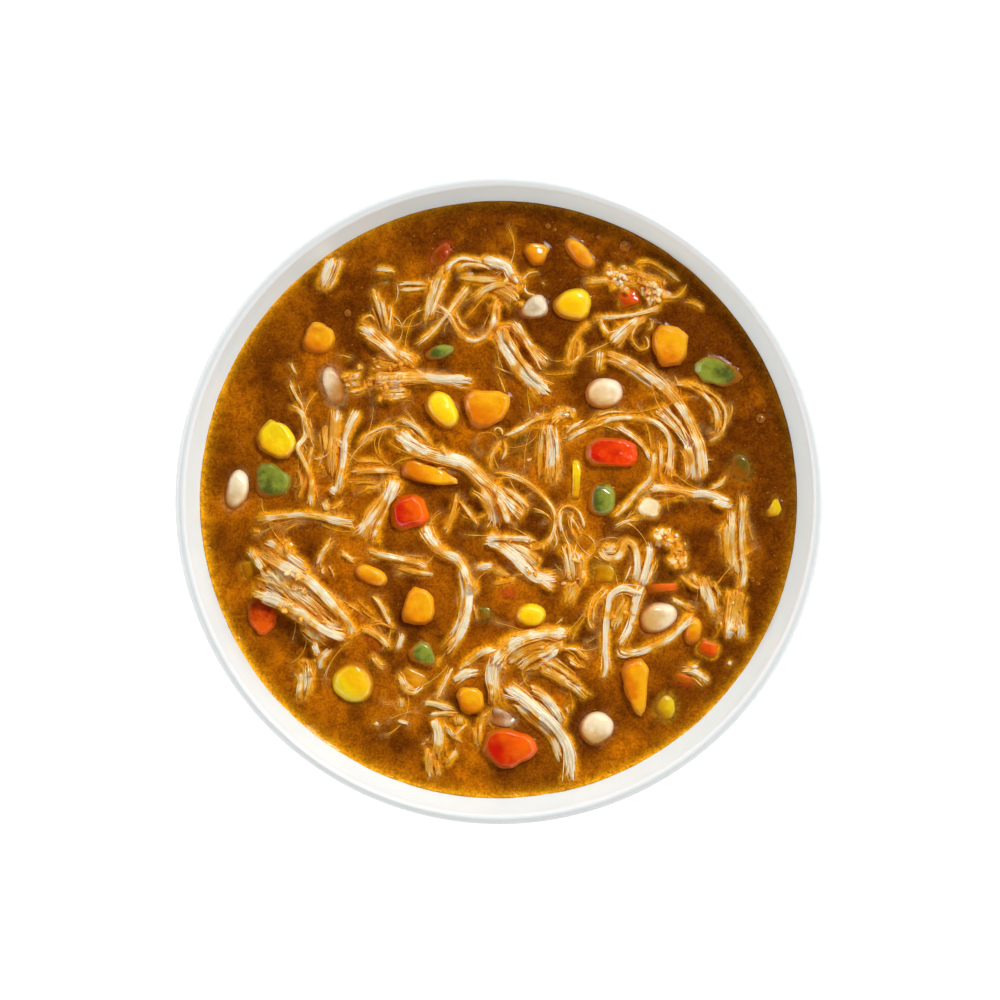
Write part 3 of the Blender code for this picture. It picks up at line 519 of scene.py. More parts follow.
FINISHES = {
    "corn_skin": ((0.95, 0.50, 0.003), (1.0, 0.72, 0.008), 160, 47.9, 49.3, 0.12),
    "bean_skin": ((0.70, 0.40, 0.12), (1.0, 0.84, 0.58), 120, 47.9, 49.4, 0.2),
    "carrot_flesh": ((0.76, 0.19, 0.001), (0.96, 0.44, 0.005), 180, 47.9, 49.6, 0.15),
    "red_skin": ((0.60, 0.010, 0.001), (1.0, 0.15, 0.002), 150, 47.9, 49.3, 0.1),
    "green_skin": ((0.08, 0.10, 0.012), (0.28, 0.32, 0.035), 420, 47.8, 49.0, 0.12),
    "onion_flesh": ((0.60, 0.46, 0.28), (0.90, 0.78, 0.56), 420, 47.9, 49.2, 0.15),
    "red_deep": ((0.60, 0.008, 0.001), (0.90, 0.065, 0.002), 250, 47.9, 49.3, 0.1),
    "red_dull": ((0.36, 0.008, 0.001), (0.95, 0.13, 0.002), 300, 47.9, 49.3, 0.1),
    "red_sunk": ((0.2, 0.008, 0.001), (0.5, 0.045, 0.002), 400, 48.0, 49.3, 0.1),
    "corn_sunk": ((0.60, 0.32, 0.005), (0.86, 0.56, 0.006), 160, 47.7, 48.8, 0.2),
    "green_sunk": ((0.035, 0.045, 0.003), (0.10, 0.11, 0.008), 190, 47.7, 49.4, 0.25),
}
skins = {name: vegetable(name, *values) for name, values in FINISHES.items()}
print("vegetable finishes:", len(skins))

# %% [markdown]
# Each kind has its usual finish, its material slot, and the colour that shines through broth over it. A few
# pieces lie deeper or look duller in the bowl, and have a finish of their own. Pieces cut by a knife keep
# creased edges. The second colour comes up towards the upper right, where the window is, as painted light,
# or in the direction that a small table gives for a piece.

# %% Which piece is what
KINDS = {
    "corn": ("corn_skin", "corn", (0.75, 0.42, 0.02)),
    "bean": ("bean_skin", "bean", (0.66, 0.45, 0.2)),
    "carrot": ("carrot_flesh", "carrot", (0.72, 0.28, 0.01)),
    "pepper_red": ("red_skin", "red_pepper", (0.5, 0.05, 0.01)),
    "tomato": ("red_skin", "red_pepper", (0.5, 0.05, 0.01)),
    "pepper_green": ("green_skin", "green_pepper", (0.13, 0.13, 0.015)),
    "onion": ("onion_flesh", "onion", (0.5, 0.3, 0.14)),
}
OWN_FINISHES = {"pepper_red_1": "red_deep", "tomato_2": "red_sunk", "pepper_red_3": "red_dull",
                "corn_6": "corn_sunk", "corn_7": "corn_sunk", "pepper_green_5": "green_sunk"}
CUT_PIECES = ("corn_3", "corn_6", "onion_1", "carrot_1", "carrot_3", "carrot_4", "carrot_5", "carrot_7",
              "carrot_8", "carrot_9", "carrot_11", "pepper_red_1", "pepper_red_2", "pepper_red_3", "tomato_1",
              "pepper_green_2", "pepper_green_3", "pepper_green_6")
# Directions in degrees from +X
# The window's side, towards which the second colour rises as painted light
UPPER_RIGHT = 50
LIGHTER = {"pepper_red_1": 0, "pepper_red_2": 0, "pepper_red_3": -90, "tomato_1": 0, "carrot_9": 0,
           "pepper_green_4": 0, "pepper_green_2": 180, "bean_1": 180, "bean_4": 0, "corn_4": 225}


def tone_and_light_across(mesh, direction):
    """Keeps, on each point, how far it lies towards this direction within its piece, from 0 to 1."""
    turn = math.radians(direction)
    along = points_of(mesh) @ np.array((math.cos(turn), math.sin(turn), 0.0))
    keep_numbers(mesh, blend=(along - along.min()) / (along.max() - along.min()))


def inside_outline(mesh):
    """Keeps, on each point, how far in plan it lies within its piece: 0 at the outline, 1 a millimetre in."""
    x, y = points_of(mesh)[:, :2].T
    # Every face is filled with 4 by 4 spots, so that the map has no gaps between its corners
    corners = np.array([face.vertices[:] for face in mesh.polygons if len(face.vertices) == 4])
    u, v = (side.ravel()[:, None] for side in np.meshgrid(np.linspace(0, 1, 4), np.linspace(0, 1, 4)))
    weights = ((1 - u) * (1 - v), u * (1 - v), u * v, (1 - u) * v)
    all_x, all_y = (sum(part * line[corners[:, at]] for at, part in enumerate(weights)) for line in (x, y))
    covered = np.zeros((SIDE, SIDE))
    covered[cell_of(all_y), cell_of(all_x)] = 1.0
    covered = blurred((blurred(covered, 0.7) > 0.55).astype(float), 2.4)
    keep_numbers(mesh, inside=np.clip(2.4 * on_map(covered, x, y) / covered.max() - 1.3, 0, 1))


# %% [markdown]
# Now each vegetable is dressed in turn. The map notes it, so that the shreds can lie over it.

# %% Dressing the vegetables
# Crease, growth and waviness of a cut piece and of a round one
CUT, ROUND = (0.45, 1.08, 0.5), (0.0, 1.12, 0.25)
dressed = 0
for seed, node in enumerate(sorted(nodes), 40):
    kind = node.rsplit("_", 1)[0]
    if kind in KINDS:
        finish, slot, tint = KINDS[kind]
        piece = soften(node, *(CUT if node in CUT_PIECES else ROUND), 2.8, seed)
        tone_and_light_across(piece.data, LIGHTER.get(node, UPPER_RIGHT))
        inside_outline(piece.data)
        finish_piece(piece, skins[OWN_FINISHES.get(node, finish)], node)
        stamp(points_of(piece.data), tint)
        dressed += 1
vegetable_tops = tops.copy()
print("vegetables:", dressed)

# %% [markdown]
# Poached breast meat pulls apart into shreds, and a shred is a sheaf of muscle fibres a third of a
# millimetre thick, some broken off short and some curling loose. A bevelled curve would give one smooth
# cord, so each shred is made of its fibres: thin tubes side by side along the shred's path, each with its
# own wander, length and tone. The path drapes over the broth and over whatever is already lying there.

# %% Paths


def smooth_curve(points, spacing):
    """Evenly spaced points on a smooth curve through the given ones."""
    points = [np.array(point, float) for point in points]
    ends = [2 * points[0] - points[1]] + points + [2 * points[-1] - points[-2]]
    share = np.linspace(0.0, 1.0, 16, endpoint=False)[:, None]
    fine = []
    for before, start, end, after in zip(ends, ends[1:], ends[2:], ends[3:]):
        fine.append(0.5 * (2 * start + (end - before) * share
                           + (2 * before - 5 * start + 4 * end - after) * share ** 2
                           + (3 * start - before - 3 * end + after) * share ** 3))
    fine = np.vstack(fine + [points[-1][None]])
    run = np.concatenate([[0.0], np.cumsum(np.linalg.norm(np.diff(fine, axis=0), axis=1))])
    places = np.linspace(0.0, run[-1], max(6, round(run[-1] / spacing) + 1))
    return np.stack([np.interp(places, run, line) for line in fine.T], 1), run[-1]


def drape(path, width, lift, length):
    """Heights along a path: on what lies under it, lifted between its ends, which dip into the broth."""
    ground = support(path[:, 0], path[:, 1], 0.3 * width)
    padded = np.pad(ground, 2, mode="edge")
    ground = np.maximum(ground, sum(padded[step:step + len(ground)] for step in range(5)) / 5)
    share = np.linspace(0.0, 1.0, len(path))
    reach = min(0.28, 2.4 / length)
    arch = np.clip(np.minimum(share, 1.0 - share) / reach, 0.0, 1.0) ** 0.8
    sway = 0.25 * uneven(share * length, lift * 50, 4.0, 7)
    return ground + (lift + 0.06 * width) * arch - 0.45 * (1 - arch) + sway


bend, bend_length = smooth_curve(((0, 0), (5, 2), (10, 0)), 0.7)
print("a bend over 10 mm:", len(bend), "points,", round(bend_length, 1), "mm long")

# %% [markdown]
# A sheaf has three sorts of strand: fibres side by side over its width, a few strays that bend away from it,
# and in a broad shred some thick cores between them, so that no light shows through. All of them follow the
# path, but each starts late and stops early by its own share.

# %% Strands of a shred
FIBRE_PITCH, CORE_PITCH, CORELESS_WIDTH = 0.28, 1.4, 0.85


def strands_across(widest, chance):
    """How many strands of each sort a shred has, and how far across it each lies, from -1 to 1."""
    count = max(1, round(widest / FIBRE_PITCH))
    strays = 1 + round(widest * 1.3)
    cores = math.ceil(widest / CORE_PITCH) if widest > CORELESS_WIDTH else 0
    across = np.concatenate([(np.arange(count) + 0.5) / count * 2 - 1, chance.uniform(-1.2, 1.2, strays),
                             0.8 * ((np.arange(cores) + 0.5) / max(cores, 1) * 2 - 1)])
    return count, strays, cores, (across + chance.normal(0.0, 0.06, len(across)))[:, None]


def along_path(path, heights, length, total, chance):
    """For each strand: its shares of the path, the points there, and the direction aside."""
    share = np.linspace(0.0, 1.0, len(path))
    start = chance.uniform(0.0, min(0.25, 1.8 / length), total)
    stop = 1.0 - chance.uniform(0.0, min(0.3, 2.6 / length), total)
    at = start[:, None] + (stop - start)[:, None] * share[None]
    step = np.gradient(path, axis=0)
    step /= np.linalg.norm(step, axis=1)[:, None] + 1e-9
    lines = (path[:, 0], path[:, 1], heights, -step[:, 1], step[:, 0])
    return at, *(np.interp(at, share, line) for line in lines)


print("strands in a shred 3 mm wide:", strands_across(3.0, np.random.default_rng(0))[:3])

# %% [markdown]
# Each strand wanders aside, strays bend away, and the sheaf is domed and tapered. Two numbers are kept for
# the material: how clean a fibre is, and how much soup clings to it, which is more in hollows and along the
# sides. More soup on a shred's flanks than on its ridge is also painted shade, which leaves the ridge
# lighter.

# %% One shred
FIBRE_RADIUS, STRAY_RADIUS = 0.21, 0.08


def sheaf(shred, seed):
    """The fibres of one shred: for each, its points, radii, cleanness and soup with painted shade, as rows of
    an array.
    """
    width, clean, lift, *points = shred
    first, last = width if isinstance(width, tuple) else (width, width)
    widest = max(first, last)
    chance = np.random.default_rng(seed)
    path, length = smooth_curve(points, 0.7)
    heights = drape(path, widest, lift, length)
    count, strays, cores, across = strands_across(widest, chance)
    total = len(across)
    body = slice(count + strays, total)
    at, x, y, z, side_x, side_y = along_path(path, heights, length, total, chance)
    from_middle = np.abs(2 * at - 1)

    # How far each wanders aside and bends away, and how high the sheaf is domed
    wide = (first + (last - first) * at) * (0.7 + 0.3 * np.sin(np.pi * at) ** 0.6)
    rows = np.arange(total)[:, None] * 3.7 + seed * 1.3
    wander = uneven(at * length, rows, 4.5, 11) * (0.12 * widest + 0.1) * (0.5 + 1.3 * from_middle ** 2)
    loose = np.zeros((total, 1))
    loose[count:count + strays, 0] = chance.uniform(0.5, 1.3, strays) * chance.choice((-1, 1), strays)
    bend = loose * (0.5 + 0.4 * widest) * from_middle ** 2.2
    aside = across * wide / 2 + wander + bend
    x, y = x + side_x * aside, y + side_y * aside
    dome = 0.22 * widest * np.clip(1 - across ** 2, 0, 1)
    z = z + dome + 0.1 * uneven(at * length, rows + 9, 1.8, 12) + 0.25 * np.abs(bend)

    # How thick each is, tapered at its ends
    share = np.linspace(0.0, 1.0, len(path))
    radius = np.full((total, 1), FIBRE_RADIUS if count > 2 else 0.42 * widest / count ** 0.5)
    radius[count:] = STRAY_RADIUS
    radius[body] = 0.46 * widest / max(cores, 1)
    knots = 1 + 0.25 * uneven(at * length, rows + 5, 1.4, 13)
    radius = radius * chance.uniform(0.65, 1.35, (total, 1)) * knots
    radius = radius * np.clip(np.minimum(share, 1 - share)[None] * length / 0.9 + 0.3, 0.0, 1.0)

    # How clean, and how soaked: the cores lie a little deeper and hold more
    cleaner = clean + chance.normal(0.0, 0.16, (total, 1)) + 0.25 * uneven(at * length, rows + 3, 3.0, 14)
    soup = 1.08 - 0.6 * clean + 0.75 * uneven(x, y, 3.6, 15) + 0.45 * uneven(x, y, 1.2, 16)
    # Painted shade: a shred's flanks get more soup than its ridge
    soup = soup + 0.5 * np.clip(np.abs(across), 0, 1.2) ** 2 * min(1.0, widest / 1.5)
    soup = soup + 0.7 * np.clip(0.5 - (z - soup_level(x, y)), 0.0, 0.6) / 0.6
    z[body] += 0.24 - radius[body]
    soup[body] += 0.12
    return x, y, z, radius, cleaner, soup


print("points of a shred 20 mm long:", sheaf((3.0, 0.8, 0.5, (-10, 0), (0, 2), (10, 0)), 0)[0].size)

# %% [markdown]
# Tearing also leaves thin fibres beside each shred, mostly sunk, and single hairs that curl away from it.
# They are drawn by chance from the shred's own path, and dropped where they would reach the bowl's wall or
# cross a vegetable. Each is again a narrow shred.

# %% Companions
OUTERMOST = 66.0


def over_broth(points):
    """Whether a path stays clear of the vegetables and of the bowl's wall."""
    points = np.array(points)
    over = vegetable_tops[cell_of(points[:, 1]), cell_of(points[:, 0])].max()
    return np.hypot(points[:, 0], points[:, 1]).max() < OUTERMOST and over < 0


def side_fibres(path, length, widest, chance):
    found = []
    for _ in range(round(length / 12)):
        low = chance.integers(0, max(1, len(path) // 2))
        part = path[low:low + chance.integers(5, 12)]
        if len(part) < 4:
            continue
        turn = math.radians(chance.normal(0.0, 16.0))
        cosine, sine = math.cos(turn), math.sin(turn)
        middle = part.mean(0)
        spun = (part - middle) @ np.array(((cosine, sine), (-sine, cosine)))
        spun += middle + chance.uniform(0.3, 1.0, 2) * chance.choice((-1, 1), 2) * (0.8 + 0.5 * widest)
        if over_broth(spun):
            width, clean = chance.uniform(0.25, 0.5), chance.uniform(0.15, 0.6)
            found.append((width, clean, chance.uniform(-0.15, 0.1), *spun))
    return found


def hairs(path, length, chance):
    found = []
    for _ in range(round(length / 16)):
        place = chance.integers(0, len(path) - 1)
        ahead = path[place + 1] - path[place]
        heading = math.atan2(ahead[1], ahead[0]) + chance.choice((0.0, math.pi)) + chance.normal(0.0, 0.5)
        curl = chance.normal(0.0, 0.17)
        hair = [path[place] + chance.normal(0.0, 0.8, 2)]
        for _ in range(chance.integers(6, 13)):
            heading += curl + chance.normal(0.0, 0.06)
            hair.append(hair[-1] + 1.5 * np.array((math.cos(heading), math.sin(heading))))
        if over_broth(hair):
            width, clean = chance.uniform(0.16, 0.24), chance.uniform(0.15, 0.6)
            found.append((width, clean, chance.uniform(0.0, 0.3), *hair))
    return found


def companions(shred, seed):
    """Thin fibres beside a shred and hairs from it, as rows like its own."""
    chance = np.random.default_rng(seed)
    width, _, _, *points = shred
    path, length = smooth_curve(points, 1.5)
    widest = max(width) if isinstance(width, tuple) else width
    return side_fibres(path, length, widest, chance) + hairs(path, length, chance)


print("companions of a shred 50 mm long:", len(companions((2.0, 0.8, 0.5, (-25, 0), (0, 4), (25, 0)), 0)))

# %% [markdown]
# All fibres of a bundle become one mesh: five-sided tubes, closed at both ends. Rings of points stand across
# the fibre's line, and a face joins each side of a ring to the next ring.

# %% Tubes
TUBE_SIDES = 5


def across_line(line):
    """The directions to the side of a line and up from it, at each of its points."""
    ahead = np.gradient(line, axis=1)
    ahead /= np.linalg.norm(ahead, axis=2)[..., None] + 1e-9
    side = np.stack([-ahead[..., 1], ahead[..., 0], np.zeros(line.shape[:2])], -1)
    side /= np.linalg.norm(side, axis=2)[..., None] + 1e-9
    return side, np.cross(ahead, side)


def tube_faces(fibres, stations, start):
    """Faces of tubes with this many rings each, whose points are numbered from start."""
    rings = np.arange(fibres)[:, None, None] * stations + np.arange(stations - 1)[None, :, None]
    rings = start + rings * TUBE_SIDES
    step = np.arange(TUBE_SIDES)[None, None]
    after = (step + 1) % TUBE_SIDES
    quads = np.stack([rings + step, rings + after, rings + TUBE_SIDES + after, rings + TUBE_SIDES + step], -1)
    faces = quads.reshape(-1, 4).tolist()
    for fibre in range(fibres):
        low = start + fibre * stations * TUBE_SIDES
        high = low + (stations - 1) * TUBE_SIDES
        faces.append(list(range(low, low + TUBE_SIDES))[::-1])
        faces.append(list(range(high, high + TUBE_SIDES)))
    return faces


print("faces of a tube of 10 rings:", len(tube_faces(1, 10, 0)))

# %% [markdown]
# The tubes of one bundle make one piece. The underside and sides of each tube get more soup than its top, so
# soup shows between the fibres; this is also painted shade on the sides and a painted highlight on the tops.

# %% A bundle's piece


def fibre_piece(name, strands):
    """One piece of all these strands, with what each keeps for the material."""
    points, faces, clean_values, soup_and_shade_values = [], [], [], []
    total = 0
    turns = np.arange(TUBE_SIDES) / TUBE_SIDES * 2 * np.pi
    cosines, sines = np.cos(turns)[:, None], np.sin(turns)[:, None]
    for x, y, z, radius, clean, soup in strands:
        line = np.stack([x, y, z], -1)
        side, up = across_line(line)
        outwards = cosines * side[:, :, None] + sines * up[:, :, None]
        points.append((line[:, :, None] + radius[:, :, None, None] * outwards).reshape(-1, 3))
        clean_values.append(np.clip(np.repeat(clean.ravel(), TUBE_SIDES), 0, 1))
        # Painted shade and highlight: the sides and underside of each tube get more soup, its top less
        soup_and_shade_values.append(np.clip(soup[..., None] + 0.7 * (0.45 - np.sin(turns)), 0, 1).ravel())
        faces += tube_faces(*x.shape, total)
        total += x.size * TUBE_SIDES
    piece = mesh_piece(name, np.vstack(points), faces)
    keep_numbers(piece.data, clean=np.concatenate(clean_values), soup=np.concatenate(soup_and_shade_values))
    return piece


# %% [markdown]
# Clean meat is cream, dull fibres are golden, and wherever soup clings they turn amber. The fibre's own
# values choose between them, and the soup value also carries painted shade on the sides of fibres and
# shreds, so their tops come out lighter. Meat lets light in, so it also has some subsurface scattering.

# %% Chicken finish
meat = new_material("chicken_meat", IOR=1.38, Subsurface_Weight=0.2, Subsurface_Scale=0.0009,
                    Subsurface_Radius=(0.8, 0.6, 0.4), Coat_Roughness=0.12, Specular_IOR_Level=0.25)
soaked_and_shaded = kept("soup")
speckle = grain(1500, 3, 0.6)
own_colour = (kept("clean") + 0.25 * (speckle - 0.5)).ramp(
    (0.0, (0.74, 0.37, 0.08)), (0.35, (0.95, 0.60, 0.20)), (0.7, (1.0, 0.75, 0.39)), (1.0, (1.0, 0.86, 0.60)))
amber = soaked_and_shaded.ramp((0.0, (1.0, 0.68, 0.07)), (0.5, (1.0, 0.50, 0.012)), (1.0, (0.86, 0.33, 0.003)))
paint(Base_Color=(soaked_and_shaded + 0.35 * (speckle - 0.5)).span(0.25, 0.8, 0.0, 0.95).mix(own_colour, amber),
      Roughness=0.4 - 0.2 * soaked_and_shaded, Coat_Weight=0.75 - 0.4 * soaked_and_shaded, Normal=bumped(grain(2200, 3), 0.00012))
MEAT_TINT = (0.62, 0.38, 0.12)
print("meat nodes:", len(meat.node_tree.nodes))

# %% [markdown]
# The shreds, bundle by bundle. Each row gives a shred's width, how clean it is, how far it stands proud, and
# its path in plan. Two widths mean a shred that fans out or narrows from one end to the other. The last
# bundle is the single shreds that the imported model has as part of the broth.

# %% Shreds
BUNDLES = {
    "chicken_01": (
        (1.2, .8, .5, (-29.8, 49.5), (-28.9, 47), (-27.5, 43), (-26.3, 38.5)),
        (.9, .7, .5, (-27.8, 47.5), (-26.8, 44), (-26, 39.5)),
        (.4, .5, .4, (-25, 46), (-25.4, 42), (-26, 38.5)),
        (4, .4, .4, (-29.5, 33), (-26, 31.5), (-21.5, 31.8)),
        (3.5, .45, .5, (-29.4, 28.5), (-26, 28), (-22, 27)),
        (2.6, .55, .5, (-28.5, 25.4), (-25, 25), (-21, 25.4)),
        (2.2, 1, .7, (-33, 40.6), (-30, 39.2), (-27, 36.6), (-24, 34.3), (-21, 32.6), (-19.4, 31)),
        (1, .8, .7, (-31.4, 38.6), (-28, 36.4), (-25, 33.6), (-22, 31.4)),
        (.35, .6, .8, (-32.5, 41), (-31, 42.9), (-29.5, 42.8), (-28.8, 40.5)),
        ((3, 1), 1, .7, (-29, 28.3), (-22, 28.6), (-14, 28.4), (-6, 28)),
    ),
    "chicken_02": (
        (1.3, .3, .3, (-10, 52.2), (-5, 51.6), (0, 51.4)),
        (4.5, .45, .3, (-.5, 50.5), (2, 48.8), (4.6, 47)),
        (1.4, .7, .5, (-6, 46.5), (-3.5, 49), (0, 50.3), (3, 50)),
        (.8, .8, .7, (-13, 53), (-12, 54.5), (-10, 56), (-8.5, 56.5), (-5, 55.8), (-2, 54.5)),
        (.6, .6, .6, (-11, 53), (-8, 55), (-4, 54.6), (-1, 53.4)),
        (2, 1, .8, (-4, 56.5), (-1, 55.6), (1.8, 54.4), (2.8, 52.6), (4.5, 50.8)),
        (1.1, .9, .7, (-.6, 47.5), (-1.2, 43), (-2.4, 38.4)),
        (.5, .7, .7, (-.2, 46), (-.6, 42), (-1.6, 38.6)),
        (1.5, .9, .6, (-13.2, 54.4), (-14.8, 50.5), (-16, 46), (-17.8, 41.5)),
        (.8, .7, .6, (-12.4, 53), (-14.2, 48), (-16.4, 42)),
        (.6, .6, .6, (-15.5, 52), (-16.4, 47.5), (-17.6, 43)),
        (.9, .6, .4, (-24, 50.5), (-20, 50.7), (-16, 50.4)),
        (.8, .5, .4, (-24, 49), (-20.5, 49.2), (-16.5, 49.6)),
        (.9, .8, .8, (-14.5, 45.8), (-12.4, 44), (-11, 42.5), (-9.5, 39.5), (-7.5, 37.7), (-5.5, 37.3),
         (-3, 38.5), (-1.5, 41), (-1, 45), (.5, 47)),
        (.5, .7, .8, (-10, 44.2), (-9, 41), (-6.5, 39.5)),
        (.6, .7, .9, (-6.5, 50.5), (-9.5, 47), (-12, 43.5), (-14, 41), (-17, 38), (-20, 35.8)),
        (.35, .8, .9, (5, 51), (7, 53), (9.5, 53.5)),
        (.35, .8, .9, (5.5, 50.5), (6.2, 48.6), (8, 48), (9, 48.8)),
        (.3, .8, .8, (9.8, 51), (10.8, 50.3)),
    ),
    "chicken_03": (
        (1, .4, .4, (2, 38), (5, 33), (9, 29.5)),
        (1.4, .5, .5, (-1, 40), (1.4, 40.6), (4, 40)),
        ((2, 3.2), 1, .8, (-1, 40.2), (1, 36.2), (4, 31.6), (8, 27.6), (12, 24.5)),
        (1, .8, .7, (.8, 40.6), (3.2, 35.6), (6.6, 30.6), (10.4, 26.6)),
        (1.8, .9, .7, (3, 41.5), (6, 37.5), (9, 33.6), (12, 31.4)),
        (.7, .7, .7, (5.4, 37.2), (8, 34), (10, 30.2)),
        (.35, .6, .5, (-.5, 30), (.6, 27.6), (1.5, 25)),
    ),
    "chicken_04": (
        (3.2, .4, .4, (35.6, 52), (36.2, 48.6), (36, 45)),
        (2.2, .5, .5, (31.5, 52.6), (34.5, 51.4), (37.4, 50)),
        (1.2, .6, .5, (26.8, 52.4), (29, 53.2), (32, 53.4)),
        (1.2, .6, .5, (27.6, 50.6), (30, 50.4), (33, 50.6)),
        (1, .4, .4, (19.8, 50.9), (23, 51.2), (26.4, 51.6)),
        ((3.4, 1.6), .9, .7, (26.2, 36.4), (29.6, 40.2), (34.6, 43.6)),
        (.9, .8, .7, (21.8, 42.6), (28, 42.9), (33, 43.6), (37.5, 45.3)),
        (.35, .8, .9, (34, 43), (31.5, 40), (31, 37.5), (33, 35.2), (35, 35.8), (34.5, 38), (33, 39)),
        (.35, .8, .9, (35.5, 42.5), (35.6, 40.5), (34, 39.3)),
        (.5, .7, .6, (36.6, 47.8), (41, 47.5), (43, 49), (44.3, 51)),
        (.6, .3, .4, (31, 54.4), (35, 55.8), (39, 53.6), (43, 50.6)),
        (.5, .3, .4, (43, 46.6), (46, 45.8), (48.5, 44.4)),
        (.7, .7, .7, (21.4, 42), (18.2, 38.7), (16.5, 35.5), (15.7, 31)),
        (.6, .7, .7, (15.7, 31), (18.4, 33.4), (20, 37.5)),
        (.4, .6, .6, (18.3, 38.4), (19, 35.8), (18.2, 33.4)),
        (.6, .7, .7, (23.4, 42.8), (24.3, 40.4), (25.6, 38.8)),
    ),
    "chicken_05": (
        (.9, .7, .7, (25.5, 33.4), (31, 30), (34, 28), (38, 25.4)),
        (1.2, .8, .7, (36, 21.5), (40, 18), (43.5, 14), (45, 10), (45.5, 5)),
        (.7, .7, .7, (38, 22.6), (42, 18.2), (45, 13)),
        ((1.8, 3.4), .9, .7, (44.2, 13.5), (45.2, 9), (45.4, 4.2)),
        (1.8, 1, .8, (25, 34.6), (30, 32.1), (35, 29), (39, 26), (42, 22.6), (44.5, 18.4), (46.4, 13.8),
         (47.3, 9), (47.5, 5)),
        (.6, .6, .6, (43, 12), (43.6, 8), (43.8, 5)),
    ),
    "chicken_06": (
        (1.2, .7, .6, (22, 17), (26, 18.8), (31, 19.2), (36, 18.5), (39, 16), (40, 12.5), (39.5, 8),
         (39, 5)),
        (.8, .7, .7, (27.5, 17.6), (31, 15), (34, 12), (36, 8)),
        (.9, .6, .6, (36.5, 12), (36, 7), (34.5, 4), (32, 1.5), (29, -2), (26, -5)),
        (.6, .6, .5, (33.5, -4.2), (29.5, -5), (26.5, -6.5)),
        (.8, .7, .6, (14.5, 14.6), (17, 17), (20, 18.5)),
        (.9, .8, .6, (15, 13.5), (19, 16), (24.5, 18.2)),
        (.7, .6, .6, (37.6, 14.5), (37.9, 9.5), (37.4, 5)),
        (.4, .5, .5, (22, 19.5), (26, 20.6), (30, 20.4)),
    ),
    "chicken_07": (
        (.8, .7, .7, (41, 27.2), (45, 26.5), (48.5, 24), (50.5, 21), (51, 17), (50.5, 15)),
        (.5, .7, .8, (44.5, 27.2), (48, 26), (51.5, 23.5), (53, 20.5), (52.5, 17), (51, 15), (48.5, 13.5)),
        (.35, .6, .7, (47.6, 8.6), (49, 9.6), (50.2, 9)),
    ),
    "chicken_08": (
        (.9, .4, .4, (10.5, 18.5), (10, 14), (9.5, 10), (9.5, 5)),
        ((1.6, 2.2), .9, .8, (11.5, 18.2), (12.3, 13), (12.5, 8), (12, 3.6)),
        (.8, .8, .7, (13, 17.2), (13.7, 10), (13.3, 3)),
        (.5, .6, .6, (11, 17.6), (11.2, 12), (10.8, 4.6)),
        (.7, .7, .6, (.5, 14.5), (4, 16.3), (8, 18.5), (12.5, 20)),
        (.6, .6, .6, (.6, 14.5), (-1.5, 11), (-2.3, 8), (-2, 5.5)),
        (.4, .6, .7, (-1.3, 15.4), (-.8, 16.9), (.5, 16.6), (.8, 15)),
        (.5, .6, .6, (1, 14.2), (1.5, 11.5), (.5, 9)),
        (2.2, .5, .4, (12, 18), (14.2, 20), (16.8, 19.6)),
    ),
    "chicken_09": (
        (1.6, .6, .5, (.6, 3), (4, .6), (7.2, -2.2)),
        (1, .5, .5, (-24, 19), (-20, 17.5), (-17.5, 15), (-15.5, 11.6)),
        ((3.4, 2.6), .9, .8, (-24, 16), (-20.5, 12.8), (-16, 10.6), (-11, 9.6), (-7.5, 8), (-4.5, 5),
         (-1, 2), (2, -.6), (5.5, -4)),
        (2.2, 1, .7, (-4.4, 3.4), (-2.6, 0), (-1.2, -4), (-1.1, -7)),
        (1.4, .9, .7, (-.4, 1.2), (1.4, -3), (2.8, -6.6)),
        (.7, .8, .7, (-14, 13), (-13, 11.9), (-12, 10.5)),
        (.6, .7, .8, (-2, 6), (1, 6.2), (5, 5), (9, 2), (12.5, -2), (13, -6), (12, -9), (10, -10.8),
         (6, -11.5), (3.5, -11)),
    ),
    "chicken_10": (
        (1.2, .4, .4, (-40.6, 18), (-40.4, 13.5), (-39.2, 9)),
        (1.9, .8, .7, (-38, 21.2), (-38.5, 16), (-39, 10), (-39, 5)),
        (1.5, .8, .7, (-33, 21.4), (-34.5, 18.5), (-36, 15), (-36.5, 10), (-37.5, 5), (-38.5, 2)),
        (1.4, .9, .7, (-39.6, 3.4), (-38.8, 2.4), (-37.6, 1.6)),
        (.9, .9, .8, (-37.6, 14.2), (-36.8, 13)),
        (.4, .6, .6, (-36.5, .5), (-38, -1.5), (-40, -2)),
        (1.4, .6, .4, (-41.2, .2), (-40.4, -2), (-40, -3)),
    ),
    "chicken_11": (
        (.5, .5, .5, (-48.8, 32.5), (-48, 30.5), (-47, 29)),
        (.6, .6, .6, (-49.3, 28.5), (-47.5, 24.5), (-46, 22), (-45.8, 20)),
        (.9, .4, .5, (-43.5, 13), (-44.6, 9), (-45.2, 5), (-47, 0)),
        (.8, .7, .7, (-49, 22.2), (-46.5, 21), (-45.5, 19), (-45.3, 15), (-47, 12.5), (-46, 10),
         (-44.5, 7), (-43.8, 3), (-44, -1.2)),
        (1.2, 1, .7, (-43.6, 5.4), (-43.8, 2), (-44.2, -1.5)),
        (.5, .5, .5, (-47.5, 8), (-46, 4), (-48, 2.5)),
        (.5, .4, .4, (-46.2, 20), (-44.4, 16), (-43.6, 12)),
    ),
    "chicken_12": (
        ((1.6, 4), .8, .7, (-24.2, 5.6), (-25.5, 2), (-29, -3), (-32.4, -9.2)),
        (.9, 1, .9, (-24.4, 5), (-27, 0), (-31, -5.6), (-34, -8.6)),
        (.7, .9, .9, (-24.2, 4.6), (-26, -1), (-30.4, -10)),
        (.6, .5, .5, (-34, 9), (-30, 9.2), (-25.5, 8.8)),
